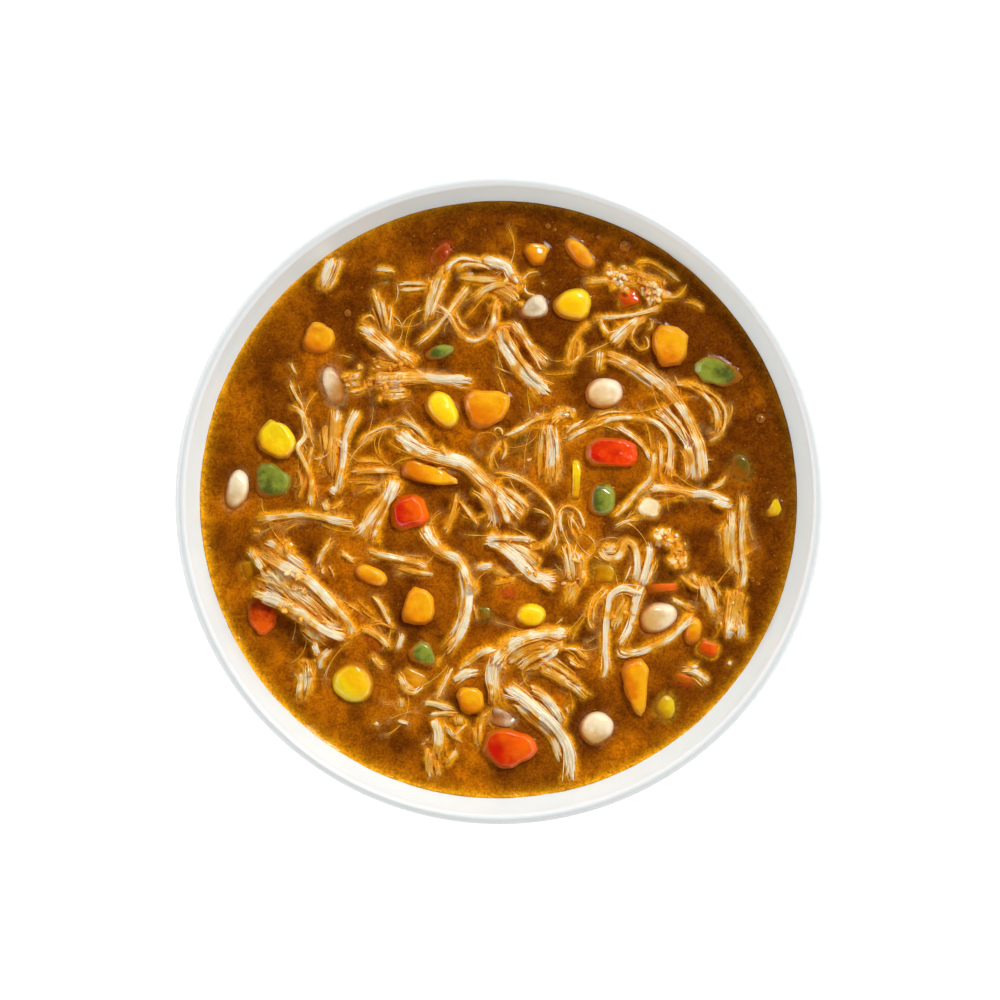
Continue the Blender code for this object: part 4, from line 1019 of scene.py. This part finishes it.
        (1.2, .9, .7, (-35, 6.6), (-29, 7), (-23.5, 6.8)),
        (.5, .3, .3, (-35, 4.2), (-31, 4.2), (-28, 4)),
        (.5, .3, .3, (-34, 1), (-30, 2.8), (-27, 3.5)),
        (.35, .5, .6, (-32.5, 13), (-31, 15), (-28, 16.7), (-25.5, 17.2), (-23.5, 16)),
    ),
    "chicken_13": (
        ((.8, 1.5), .8, .5, (-57, -4.6), (-52, -3.8), (-45, -3.5), (-38, -4.8), (-33.5, -5.5)),
        (8.4, .55, 1.2, (-54.5, -14.5), (-49.5, -19), (-44, -24), (-37, -30.5)),
        (1.2, .7, .8, (-56, -23), (-50, -25.5), (-43.5, -30)),
        ((2.6, 1.6), .9, 1, (-58, -21.5), (-53, -22.5), (-47, -25.5), (-42, -29), (-35, -33)),
        (2, .9, 1, (-55, -9.4), (-50, -12.2), (-44, -16.6)),
        ((2.4, 1.6), 1, 1.1, (-55.4, -12), (-51, -14.5), (-47, -16.8), (-43, -19.8), (-38.5, -24.6),
         (-35, -29), (-34.6, -32)),
        (1.8, .9, .9, (-58.2, -11), (-57, -13.4), (-54.5, -16.5)),
        (.8, .8, 1, (-50, -8.5), (-49.6, -10.6), (-49.4, -12.6)),
        (.6, .8, .9, (-48.4, -10.6), (-48.6, -13)),
        (1, .6, .6, (-38.8, -8.5), (-40.4, -11), (-42, -13.4), (-43, -16)),
    ),
    "chicken_14": (
        (1.3, .6, .5, (-45.5, -29.2), (-43.5, -31.2), (-40.5, -32.2)),
        (1.2, .8, .6, (-43.4, -32.6), (-42.6, -35), (-42.4, -37)),
        (1.3, .8, .6, (-39, -34.5), (-41.5, -37), (-42, -40)),
        ((2.4, 1.8), .7, .5, (-45, -37.6), (-44.8, -42.4), (-46, -47)),
        (1.4, .5, .4, (-46.2, -40), (-46.8, -44.4), (-47, -47.4)),
    ),
    "chicken_15": (
        (1, .4, .4, (-24, -15.4), (-20, -16.6), (-15, -17.4)),
        (1.2, .9, .6, (-31.5, -11.2), (-28, -12.5), (-24, -13.5), (-20, -14.4), (-16, -16)),
        (.8, .6, .6, (-16, -8), (-13.6, -11.6), (-11, -14)),
        (1, .8, .7, (-9, -16), (-8.4, -21), (-9, -27), (-11.6, -33)),
        ((1.6, 2), 1, .8, (-17.4, -6), (-16, -9), (-13, -12), (-10, -13.6), (-8, -17), (-7, -21),
         (-7.5, -26), (-9, -31), (-12.5, -36)),
        (.8, .5, .6, (-9.5, 2), (-10.5, -2), (-12, -6), (-13.5, -8.4)),
        (.6, .7, .6, (-9.5, .4), (-7, -3), (-4.5, -6.5)),
        (1.1, 1, .7, (-6.6, -18.8), (-5.8, -20.4), (-5, -21.6)),
        (.5, .6, .5, (-6, -24), (-5.4, -26.4), (-5, -28.5)),
    ),
    "chicken_16": (
        (3.4, .6, .5, (2, -10.6), (6.4, -13), (9, -15.6)),
        (3.4, .5, .5, (16, -10.4), (17, -15), (17.6, -20)),
        ((2.4, 2.8), .3, .3, (17.6, -19), (16.8, -22), (15.6, -24.4)),
        ((2.6, 2.2), 1, .8, (-3.5, -9), (0, -10.6), (3, -12.8), (6, -16), (9, -18.2), (14, -18.6)),
        (1.2, .8, .7, (-3, -8.5), (2, -8.8), (6, -9.2), (9, -10)),
        (1.6, .8, .7, (18.6, -12), (19.4, -16), (18.8, -20.4)),
        (.9, .7, .6, (9.6, -18.6), (11.4, -20), (13, -21.2)),
        (.4, .8, 1, (14.5, -8), (13.9, -4), (14.6, -2), (16.5, -1.3), (18.5, -2.5), (19.8, -5), (20, -7.4)),
        (.4, .8, 1, (14.2, -2), (14.5, -6), (16, -10), (17.5, -12)),
        (.3, .7, .9, (16, -3), (18, -5.6), (19.5, -8.5)),
        (.4, .7, .9, (13, -7), (13.5, -10), (12.5, -12)),
        (.3, .6, .9, (17, -1.8), (16.8, -6), (18.4, -9.6)),
    ),
    "chicken_17": (
        (2.6, .5, .5, (12, -33.6), (6, -34.8), (1.4, -38)),
        ((3.4, 2), .9, .8, (-.6, -36), (-1.8, -41), (-1.2, -45), (-1.4, -48.6)),
        ((1.8, 3.6), 1, .8, (16, -31.2), (10, -31.4), (5, -32.4), (1, -35), (-1.5, -38.4)),
        (1.8, .8, .8, (15, -33.6), (8, -36.8), (4, -39.5)),
        (1, 1, .9, (14, -35), (10, -38), (6, -40.5)),
        (1.2, .8, .6, (-.5, -34.5), (-4, -35.5), (-8, -38.5), (-9.5, -40.5)),
        (2, .9, .6, (-11, -42.6), (-8, -40.6), (-4.6, -40)),
        (2.2, .8, .6, (9.6, -38.8), (14, -41.6), (18, -44), (20.6, -47)),
        (1, .6, .6, (10, -37), (15, -40.2), (19.6, -43.6)),
        (.6, .8, .7, (15, -34.6), (18, -35), (20, -37), (21.5, -36.5)),
        (.8, .7, .7, (15.6, -37), (18, -38.6), (20.4, -39.6)),
    ),
    "chicken_18": (
        (1.8, .4, .5, (6, -46), (10, -49), (13.4, -53)),
        (1.6, .7, .6, (3, -47.3), (9, -52), (12.5, -56), (14.5, -62)),
        (2, .9, .7, (7, -43.5), (11, -46.5), (13.5, -50), (15.5, -53.5)),
        ((2.2, 2.8), 1, .8, (1.2, -43.5), (5, -46), (9, -49.5), (12.5, -52.5), (15, -56), (16.5, -60),
         (17, -66)),
        (.4, .6, .6, (15.5, -48), (16.2, -50.4)),
    ),
    "chicken_19": (
        (2.6, .2, .4, (-9.8, -50.4), (-9.2, -53)),
        (1.2, .8, .5, (-18, -47.5), (-14, -48), (-10, -49.5)),
        (1, .5, .5, (-17, -50.5), (-13, -50), (-9.5, -50)),
        ((2.2, 3), .8, .7, (-15, -51), (-14.2, -55), (-14.8, -61)),
        (1.9, 1, .8, (-16.2, -58), (-16.5, -61), (-16.3, -65)),
        (.8, .9, .7, (-15, -61), (-14, -65)),
        (.9, .7, .6, (-13, -52), (-11, -55), (-8, -57)),
        (.45, .8, .8, (-7.5, -52), (-10, -54.5), (-11.5, -55)),
        (.8, .7, .6, (-6.5, -53), (-5.5, -55), (-5, -58.5)),
        (.7, .7, .6, (-2, -49.5), (-4, -50.5), (-4.5, -53), (-4.8, -57.5)),
        (1.2, .6, .5, (-9.5, -58), (-12, -61), (-13.5, -62)),
        (.7, .6, .6, (-10.5, -38), (-12.5, -42), (-14.5, -46), (-15.5, -48)),
    ),
    "chicken_20": (
        (2.2, .5, .4, (24.4, -11.4), (27.6, -11.4)),
        (2, .5, .5, (30, -23), (28, -27), (26.5, -31)),
        (1.3, .8, .6, (23, -11), (25, -13.5), (28, -13), (29.5, -10), (31, -10), (32, -12), (32.3, -16),
         (32, -20)),
        (.4, .7, .6, (31, -15), (30, -17.6), (29, -20)),
        (1.3, .9, .7, (34.5, -10), (35.3, -12), (34.5, -16), (33.3, -20.5)),
        (.7, .8, .6, (37, -13), (35.5, -17), (34.5, -20.5)),
        (1.6, 1, .9, (33.5, -20), (32, -24), (30.5, -30), (28, -34.5)),
        (1.4, .9, .8, (28, -34.5), (29, -36), (33, -35.5), (38, -33.5), (41, -31.5), (43, -29.5),
         (46, -26.5)),
        (1, .7, .6, (40, -23), (43, -24.4), (46, -26)),
        (1.2, .9, .7, (33.5, -22), (31, -21), (28.5, -20.7), (26, -22.5), (25.5, -25), (25, -30),
         (24.8, -35), (25, -39.5), (24, -42)),
        (.35, .7, .7, (25, -19.5), (22, -23), (20.8, -27), (21.5, -30), (23, -31.5)),
        (.35, .6, .7, (25.6, -20.5), (22.8, -24), (22, -27.6), (23, -30.4)),
    ),
    "chicken_21": (
        (1.2, .25, .3, (53.5, -5), (53.5, -12), (55, -16)),
        (1.4, .5, .5, (55, -2), (54.5, -8), (55, -13), (56, -18)),
        (1.3, .6, .6, (57.5, 1.5), (57, -5), (57, -12), (57.5, -17), (56.5, -22)),
        ((3.2, 4.6), .6, .5, (56, -21), (55, -27), (55, -33)),
        (1.6, .95, .7, (54.2, -28), (53.6, -32.4)),
        (1.4, .95, .7, (56.6, -28), (56.6, -32.8)),
        (1.6, .9, .7, (35, 3), (40, 2.5), (45, 1.5), (49, 1.3), (54.5, -1)),
        (.9, .7, .7, (36, 2.8), (41, 2.2), (46, .8)),
        (.35, .7, .9, (40.5, 0), (42, 1), (44.5, .3)),
        (1.2, 1, .7, (49.6, -.2), (52, -1), (54.8, -1.5)),
        (.8, .6, .6, (49, 2.5), (52, 4), (53, 6)),
    ),
    "chicken_22": (
        ((1.4, 2.2), 1, .6, (47.5, -18), (49, -22), (50, -26), (49, -28)),
        (.9, .8, .6, (47, -18), (47.6, -21), (48, -24)),
        (.8, .6, .5, (45, -17), (46.5, -20)),
        (.7, .4, .4, (50, -19), (52, -23)),
        (.6, .6, .5, (42, -17.5), (44.4, -19.4), (47, -21)),
    ),
    "broth": (
        (2.2, .9, .4, (-38.8, 57), (-39.6, 54.4), (-41.9, 49)),
        (.7, .4, .3, (-36.6, 57.6), (-38, 53), (-40, 48.6)),
        (.9, .7, .4, (-29.4, 54.2), (-26.8, 53.9), (-24, 53.2)),
        (1.2, .8, .4, (-36, 28.3), (-34, 28.9), (-32, 29.5)),
        (.9, .6, .4, (-35, 27), (-33.4, 27.2), (-32, 27)),
        (.5, .3, .4, (-30, 29), (-31, 26.5), (-33.5, 25.5), (-36, 25.2)),
        (.4, .3, .3, (-38, 34), (-36, 33.6), (-34, 33)),
        (2, .9, .5, (-23.5, -40), (-22, -43.5), (-20, -44.5), (-18, -42.8)),
        (1.2, .9, .5, (-22.3, -31), (-23.2, -33.4), (-23.8, -35.5)),
        (1.4, .2, .3, (-23, -46), (-23, -49)),
        (.9, .7, .4, (-24, -51.5), (-21, -52.3)),
        (1.6, .8, .5, (-30, -36), (-28.4, -38), (-26.8, -39.5)),
        (1.2, .4, .5, (-33, -30), (-29.6, -31), (-27, -33), (-25.5, -35.5)),
        (.4, .6, .5, (-30, -29.5), (-27.5, -28.8), (-23.5, -30.5)),
        (.7, .7, .5, (-30, -22), (-28, -24), (-26, -28), (-24.5, -30)),
        (.3, .4, .5, (-34, -22.5), (-31, -25.2), (-28, -27.5)),
        (.4, .4, .3, (-28, -47.5), (-25, -48)),
        (.4, .5, .5, (-40, -15), (-38.8, -17), (-38.5, -19)),
        (1, .8, .5, (-37.5, -11.5), (-35.4, -13.2), (-33.5, -14.5)),
        (1.5, .9, .5, (42.5, -39.8), (45, -40), (47, -41), (49.5, -43)),
        (.8, .8, .4, (44.5, -39), (47, -39)),
        (.9, .8, .4, (54, -39), (54, -37.6)),
        (1, .8, .4, (-28.7, -53), (-28.7, -51.8)),
        (1.7, .8, .5, (23.7, 35.2), (23.5, 32.6), (23, 29.8)),
        (1.4, .7, .5, (-6, -16), (-3, -15.4), (-1, -15.5)),
        (1, .5, .4, (-1.5, -16.3), (.4, -17), (2.5, -18)),
        (.7, .3, .4, (-2, -19.5), (1.4, -19), (5, -18)),
    ),
}
print("shreds in the table:", sum(len(shreds) for shreds in BUNDLES.values()))

# %% [markdown]
# Each bundle is made of its companions first and its shreds on top of them. A bundle has its own range of
# seeds, so a change to one leaves the others as they are.

# %% Bundles
COMPANION_SEEDS, SHRED_SEEDS = 9000, 1000
fibre_faces = 0
for number, (node, shreds) in enumerate(BUNDLES.items()):
    thin, strands = [], []
    for seed, shred in enumerate(shreds, COMPANION_SEEDS + 50 * number):
        thin += companions(shred, seed)
    for seed, shred in enumerate(thin + list(shreds), SHRED_SEEDS + 100 * number):
        strand = sheaf(shred, seed)
        strands.append(strand)
        # The map notes the fibres' upper sides, at their points and halfway between them
        x, y, z, radius, *_ = strand
        upper = np.stack([x, y, z + radius], -1)
        halfway = (upper[:, 1:] + upper[:, :-1]) / 2
        stamp(np.concatenate([upper, halfway], 1).reshape(-1, 3), MEAT_TINT)
    piece = fibre_piece("loose_shreds" if node == "broth" else node.replace("chicken", "shreds"), strands)
    finish_piece(piece, meat, node)
    fibre_faces += len(piece.data.polygons)
print("bundles:", len(BUNDLES), "fibre faces:", fibre_faces)

# %% [markdown]
# The one cube of breast meat is a softened copy of its solid, and soup clings to its lower half.

# %% Cube of meat
cube = soften("chicken_cube", 0.5, 1.05, 0.25, 2.0, 91)
points = points_of(cube.data)
x, y, z = points.T
above_soup = z - SOUP_TOP
keep_numbers(cube.data, clean=0.85 + 0.2 * uneven(x, y, 1.2, 92),
             soup=np.clip(0.9 - above_soup / 1.6 + 0.3 * uneven(x, y + above_soup, 1.5, 93), 0, 1))
finish_piece(cube, meat, "chicken_cube")
stamp(points, (0.7, 0.45, 0.2))
print("cube faces:", len(cube.data.polygons))

# %% [markdown]
# Crumbs of meat lie where shreds have frayed. One ball is modelled, and its points are copied, dented,
# flattened and turned for each crumb, all in one mesh. A table says where they lie.

# %% Table and ball for the crumbs
CRUMB_LIMIT = 64
CRUMB_STRETCH = ((0.8, 1.5), (0.7, 1.1), (0.5, 0.8))
# Middle, spread, how many, size, and for some how free of soup
CRUMBS = (
    ((27.8, 51.3), 1.5, 16, 1.1, 0.8), ((35.4, 48.7), 1.3, 16, 1.2, 0.8), ((40.6, -9.2), 1.0, 7, 1.0, 0.6),
    ((27.0, 52.5), 1.6, 5, 1.0), ((31.0, 53.5), 1.4, 4, 0.9), ((28.0, 50.5), 1.5, 5, 0.8),
    ((32.0, 50.5), 1.5, 5, 0.8), ((15.0, 19.5), 1.8, 9, 0.9), ((38.4, -8.4), 1.1, 16, 1.5),
    ((42.0, -14.0), 1.2, 16, 1.5), ((-41.7, 7.0), 0.8, 3, 0.7), ((-56.8, -7.5), 0.5, 2, 0.8),
    ((-17.5, -57.0), 0.6, 2, 0.8), ((7.2, 9.4), 0.2, 1, 0.8), ((-26.5, 30.5), 2.6, 12, 1.1),
    ((-25.4, 25.6), 1.8, 7, 1.0), ((1.8, 49.0), 2.6, 8, 1.0), ((36.2, 48.6), 1.8, 8, 1.0),
    ((-33.8, 28.6), 1.8, 7, 1.3), ((-46.4, -22.4), 4.4, 18, 1.0), ((6.4, -13.4), 3.0, 10, 0.9),
    ((16.8, -16.6), 2.2, 9, 1.0), ((5.6, -35.0), 3.4, 9, 0.8), ((55.0, -27.2), 2.4, 9, 0.9),
    ((-43.8, -38.6), 1.6, 6, 0.8), ((41.5, -10.4), 1.6, 8, 0.9), ((29.0, -26.5), 2.0, 7, 0.8),
)
deselect()
bpy.ops.mesh.primitive_ico_sphere_add(subdivisions=2, radius=MM)
ball = bpy.context.object
ball_points = points_of(ball.data)
ball_faces = np.array([face.vertices[:] for face in ball.data.polygons])
bpy.data.objects.remove(ball)


def balls_piece(name, shaped):
    """One piece of many balls, each with its own points."""
    faces = [ball_faces + number * len(ball_points) for number in range(len(shaped))]
    return mesh_piece(name, np.vstack(shaped), np.vstack(faces).tolist())


print("faces of the ball:", len(ball_faces))

# %% [markdown]
# The crumbs settle on whatever lies at their place, and soup clings to their undersides.

# %% Crumbs
chance = np.random.default_rng(17)
crumbs, crumb_clean, crumb_soup = [], [], []
for middle, spread, many, size, *free in CRUMBS:
    for _ in range(many):
        x, y = np.array(middle) + spread * np.clip(chance.normal(0.0, 1.0, 2), -1.3, 1.3)
        if math.hypot(x, y) > CRUMB_LIMIT:
            continue
        girth = 0.6 * size * chance.uniform(0.5, 1.1)
        stretch = np.array([chance.uniform(*limits) for limits in CRUMB_STRETCH]) * girth
        turn = chance.uniform(0.0, math.pi)
        dents = uneven(ball_points[:, 0] * 2 + x, ball_points[:, 1] * 2 + ball_points[:, 2], 0.9, 18)
        across, along, up = (ball_points * (1 + 0.65 * dents)[:, None] * stretch).T
        level = support(np.array([x]), np.array([y]), 0.3)[0]
        placed = np.stack([across * math.cos(turn) - along * math.sin(turn),
                           across * math.sin(turn) + along * math.cos(turn), up], 1) + (x, y, level + 0.05)
        crumbs.append(placed)
        crumb_clean.append(np.full(len(placed), chance.uniform(0.4, 1.0)))
        soaked_here = chance.uniform(0.0, 0.7) + 0.8 - sum(free)
        crumb_soup.append(np.clip(soaked_here - (placed[:, 2] - level), 0, 1))
        stamp(placed, MEAT_TINT)
crumb_piece = balls_piece("meat_crumbs", crumbs)
keep_numbers(crumb_piece.data, clean=np.concatenate(crumb_clean), soup=np.concatenate(crumb_soup))
finish_piece(crumb_piece, meat, "broth")
print("crumbs:", len(crumbs))

# %% [markdown]
# Small bits of vegetable float between the rest. Each is a cube added at its size and place, bevelled and
# rounded by a Subdivision Surface, and those of one finish are joined.

# %% Small bits
THICKEST_BIT = 3.0
# Middle, length, width, turn, how far it stands out of the broth
BITS = {
    "corn": (((-57.6, -15.6), 4.6, 4.2, 20, 0.5), ((24.6, -17.0), 4.8, 4.2, 0, 0.3),
             ((18.2, 4.4), 8.2, 1.9, 88, 1.0)),
    "pepper_red": (((30.2, 47.4), 4.8, 4.2, 20, 0.7), ((38.0, -21.0), 7.0, 2.2, 6, 0.7),
                   ((48.8, -34.8), 4.4, 3.4, -20, 1.2), ((-28.4, -32.6), 5.0, 4.2, -50, 0.4),
                   ((43.4, -42.2), 4.0, 2.6, -15, 0.4), ((2.2, -21.6), 3.6, 3.2, 0, 0.5)),
    "pepper_green": (((-3.6, -26.6), 3.2, 2.6, 0, 0.5), ((-27.0, 51.0), 3.0, 1.8, 30, 0.2),
                     ((5.0, 12.4), 5.4, 4.6, 30, -0.15)),
    "onion": (((0.8, -51.2), 5.8, 3.6, -25, 0.5),),
    "carrot": (((-20.6, -42.2), 5.2, 4.8, -30, 0.7),),
}


def small_bit(place, length, width, turn, rise):
    """A rounded and slightly crumpled block of vegetable in the broth."""
    x, y = place
    depth = min(length, width, THICKEST_BIT)
    deselect()
    bpy.ops.mesh.primitive_cube_add(size=MM, scale=(length * 1.1, width * 1.1, depth),
                                    rotation=(0, 0, math.radians(turn)),
                                    location=(x * MM, y * MM, (SOUP_TOP + rise - depth / 2) * MM))
    bit = bpy.context.object
    bpy.ops.object.transform_apply(location=True, rotation=True, scale=True)
    bpy.ops.object.mode_set(mode="EDIT")
    bpy.ops.mesh.bevel(offset=0.35 * min(width, depth) * MM, segments=2, affect="EDGES")
    bpy.ops.object.mode_set(mode="OBJECT")
    round_off(bit, 2)
    points = points_of(bit.data)
    crumple = [uneven(points[:, 1], points[:, 2] + x, 1.6, seed) for seed in (21, 22, 23)]
    put_points(bit.data, points + 0.45 * np.stack(crumple, 1))
    # Painted light: the second colour rises towards the window's side
    tone_and_light_across(bit.data, UPPER_RIGHT)
    inside_outline(bit.data)
    bpy.ops.object.shade_smooth()
    return bit


for kind, rows in BITS.items():
    finish, slot, tint = KINDS[kind]
    made = [small_bit(*row) for row in rows]
    for bit in made:
        stamp(points_of(bit.data), tint)
    take_up(made[0])
    for bit in made:
        bit.select_set(True)
    if len(made) > 1:
        bpy.ops.object.join()
    made[0].name = slot + "_bits"
    finish_piece(made[0], skins[finish], "broth")
    print(slot, "bits:", len(rows))

# %% [markdown]
# The broth is thick and stands a little higher against everything that pokes out of it, and against the
# bowl. A fine square grid is bent into a disc, and each of its points is raised by the calm level, by small
# ripples, and by how much lies close by.

# %% Soup surface
SOUP_GRID = 284
deselect()
bpy.ops.mesh.primitive_grid_add(x_subdivisions=SOUP_GRID, y_subdivisions=SOUP_GRID, size=2)
soup = take_up(bpy.context.object)
soup.name = "soup"
u, v, _ = (points_of(soup.data) * MM).T
x, y = SOUP_RADIUS * u * np.sqrt(1 - v ** 2 / 2), SOUP_RADIUS * v * np.sqrt(1 - u ** 2 / 2)
from_wall = SOUP_RADIUS - np.hypot(x, y)
out_of_soup = np.clip((tops - calm - 0.2) / 0.5, 0, 1)
ripples = 0.12 * uneven(x, y, 3.4, 3) + 0.03 * uneven(x, y, 1.3, 4)
rise = 0.3 * on_map(blurred(out_of_soup, 0.9), x, y) + 0.45 * np.exp(-from_wall / 1.2)
put_points(soup.data, np.stack([x, y, soup_level(x, y) + ripples + rise], 1))
print("highest over the calm level:", (ripples + rise).max().round(2))

# %% [markdown]
# The colour is kept on the points. It is deep amber in the pools and lighter in patches. Towards the
# window's side and close to the wall it is darker, which is the rim's shadow painted on. It is nearly golden
# against the wall and round the meat, where the broth is a thin film, and the film at the wall is painted
# brighter on the side away from the window, where the light falls. Where a piece lies just under the
# surface, its own colour shines through.

# %% Soup colour
DEEP, LIGHT, THIN = np.array(((0.165, 0.038, 0.0009), (0.58, 0.16, 0.0015), (1.0, 0.44, 0.006)))
RIM_SUM = 98    # x + y at the wall on the window's side
window_side = (x + y) / RIM_SUM
# Painted shadow of the rim: darker towards the window's side and close to the wall
pool_and_rim_shade = np.clip(0.36 + 0.5 * uneven(x, y, 9.0, 5) + 0.35 * uneven(x, y, 3.5, 6) - 0.3 * window_side, 0, 1)
pool_and_rim_shade = pool_and_rim_shade * (1 - 0.35 * np.exp(-from_wall / 7.0))
meat_there = out_of_soup * (tops > vegetable_tops + 0.01)
patchy = 0.5 + 0.5 * uneven(x, y, 3.2, 8) + 0.3 * uneven(x, y, 1.2, 9)
by_meat = np.clip(on_map(blurred(meat_there, 0.9), x, y) * 2.0 * (0.5 + 0.8 * patchy), 0, 1)
# Thin film at the wall, painted brighter on the side away from the window, where the light falls: painted
# light
wall_film_and_light = 1.2 * np.exp(-from_wall / 0.9) * (0.65 - 0.5 * window_side)
colour = DEEP + (LIGHT - DEEP) * pool_and_rim_shade[:, None]
colour = colour + (THIN - colour) * np.clip(by_meat + wall_film_and_light, 0, 1)[:, None]

filled = (tops > NOTHING).astype(float)
just_under = np.exp(-np.abs(tops - calm) / 0.7) * filled * (tops < calm + 0.2)
through = np.clip(on_map(blurred(just_under, 0.8), x, y) * 0.8, 0, 0.7)[:, None]
under = blurred(tints * filled[..., None], 0.7) / np.maximum(blurred(filled, 0.7), 0.02)[..., None]
keep_tint(soup.data, colour * (1 - through) + on_map(under, x, y) * through)
print("share with something just under it:", (through > 0.1).mean().round(2))

# %% [markdown]
# The disc's rim is then extruded down along the bowl's inner wall and closed, so the broth is a solid like
# the one it stands for.

# %% Soup body
bpy.ops.object.mode_set(mode="EDIT")
bpy.ops.mesh.select_mode(type="EDGE")
bpy.ops.mesh.select_all(action="DESELECT")
bpy.ops.mesh.select_non_manifold()
turn_on([(SOUP_RADIUS, SOUP_TOP)] + curve_points(*HOLLOW, 6)[1:])
bpy.ops.transform.resize(value=(1, 1, 0))
close_up()
bpy.ops.object.shade_smooth()
print("soup faces:", len(soup.data.polygons))

# %% [markdown]
# The broth's surface is wet and glossy, with fine grains of vegetable and fat in it. They are too small to
# model, so they are noise in the colour and the bump.

# %% Soup finish
amber_broth = new_material("amber_broth", IOR=1.34, Subsurface_Weight=0.1, Subsurface_Scale=0.001,
                           Subsurface_Radius=(1.0, 0.4, 0.1))
fine = 0.5 * grain(420, 4, 0.6, 1.0) + 0.5 * grain(1900, 2, 0.6)
light_specks = grain(1500, 2).span(0.66, 0.76, 0.0, 0.5)
shade = Wire.node("ShaderNodeMix", {"data_type": "RGBA", "blend_type": "MULTIPLY"}, out=2, i0=1.0,
                  i6=kept("tint", 0), i7=fine.span(0.34, 0.66).mix((0.62, 0.53, 0.5), (1.34, 1.42, 1.4)))
paint(Base_Color=light_specks.mix(shade, (0.62, 0.30, 0.03)), Roughness=0.05 + 0.1 * grain(500, 3),
      Normal=bumped(grain(420, 4, 0.55, 0.5), 0.00028))
finish_piece(soup, amber_broth, "broth")
print("soup nodes:", len(amber_broth.node_tree.nodes))

# %% [markdown]
# A few bubbles have come up near the bowl's wall. Each is a low dome of broth: the small ball that the
# crumbs were made from, flattened and half sunk, so that it shows as a ring with one glint.

# %% Bubbles
# Middle and radius
BUBBLES = ((29.4, 59.4, 1.5), (11.4, 64.0, 0.7), (12.9, 63.2, 0.5), (23.2, 61.4, 0.6), (49.0, 9.2, 0.6),
           (61.3, 19.1, 1.2), (59.2, -18.7, 0.8), (60.8, -19.6, 0.5), (-35.4, 43.7, 0.9), (53.6, -38.4, 0.6))
domes = [ball_points * (radius, radius, 0.6 * radius) + (x, y, soup_level(x, y) + 0.12)
         for x, y, radius in BUBBLES]
bubbles = balls_piece("bubbles", domes)
keep_tint(bubbles.data, np.tile((0.30, 0.09, 0.002), (len(bubbles.data.vertices), 1)))
finish_piece(bubbles, amber_broth, "broth")
print("bubbles:", len(BUBBLES))

# %% [markdown]
# The floor is a plain white sheet, and the light is that of a white room. The room is pale all round and
# dark overhead, which keeps the broth deep, since the ceiling is what its flat parts mirror to someone who
# looks straight down.

# %% Floor and room
deselect()
bpy.ops.mesh.primitive_plane_add(size=8.0)
floor = bpy.context.object
floor.name = "floor"
sheet = new_material("white_sheet", Roughness=0.6, Emission_Strength=0.85)
paint(Base_Color=(0.3, 0.3, 0.3), Emission_Color=(1.0, 1.0, 1.0))
floor.data.materials.append(sheet)

world = bpy.data.worlds.new("white_room")
bpy.context.scene.world = world
world.use_nodes = True
Wire.tree = world.node_tree
upwards = Wire.node("ShaderNodeSeparateXYZ", out=2, Vector=Wire.node("ShaderNodeTexCoord", out=0))
room = upwards.ramp((0.0, (0.4, 0.4, 0.4)), (0.07, (0.45, 0.45, 0.45)), (0.16, (1.0, 1.0, 1.0)),
                    (0.28, (0.8, 0.8, 0.79)), (0.40, (0.3, 0.29, 0.28)), (0.65, (0.075, 0.07, 0.06)),
                    (1.0, (0.012, 0.012, 0.01)))
background = world.node_tree.nodes["Background"]
Wire.join(room, background.inputs["Color"])
background.inputs["Strength"].default_value = 3.0
bpy.context.scene.view_settings.view_transform = "Standard"
print("floor size in metres:", floor.dimensions[0])

# %% [markdown]
# Three soft lamps add the directions that the photograph shows. The window is behind the right shoulder of
# the bowl, its brightest pane draws the sharp glints on kernels and beans, and the far wall throws light
# back from the left.

# %% Lamps


def lamp(name, power, width, height, azimuth, elevation, distance):
    """A soft lamp aimed at the bowl; azimuth runs from +X towards +Y."""
    turn, rise = math.radians(azimuth), math.radians(elevation)
    bpy.ops.object.light_add(type="AREA")
    light = bpy.context.object
    light.name = name
    light.data.energy = power
    light.data.shape = "RECTANGLE"
    light.data.size = width
    light.data.size_y = height
    away = Vector((math.cos(turn) * math.cos(rise), math.sin(turn) * math.cos(rise), math.sin(rise)))
    light.location = away * distance + Vector((0, 0, SOUP_TOP * MM))
    light.rotation_euler = (-away).to_track_quat("-Z", "Y").to_euler()
    print("lamp:", name, power, "W")


lamp("window", 8.7, 0.5, 0.2, 53.0, 52.0, 1.3)
lamp("bright_pane", 2.4, 0.12, 0.1, 53.0, 50.0, 1.28)
lamp("far_wall", 7.0, 1.2, 1.2, 185.0, 18.0, 1.8)

# %% [markdown]
# The photograph looks almost straight down from a little left of the bowl's middle, through a long lens. The
# camera's place follows from how far the broth's circle is shifted against the rim's.

# %% Camera
EYE = Vector((-0.020, 0.012, 0.760))
AIM = Vector((-0.0001, 0.0002, 0.058))
bpy.ops.object.camera_add(location=EYE)
camera = bpy.context.object
camera.name = "camera"
camera.data.lens = 109.6
camera.data.sensor_width = 36.0
ahead = (AIM - EYE).normalized()
right = ahead.cross(Vector((0, 1, 0))).normalized()
above = right.cross(ahead)
camera.rotation_euler = Matrix((right, above, -ahead)).transposed().to_euler()
bpy.context.scene.camera = camera
print("camera distance in metres:", round((AIM - EYE).length, 3))
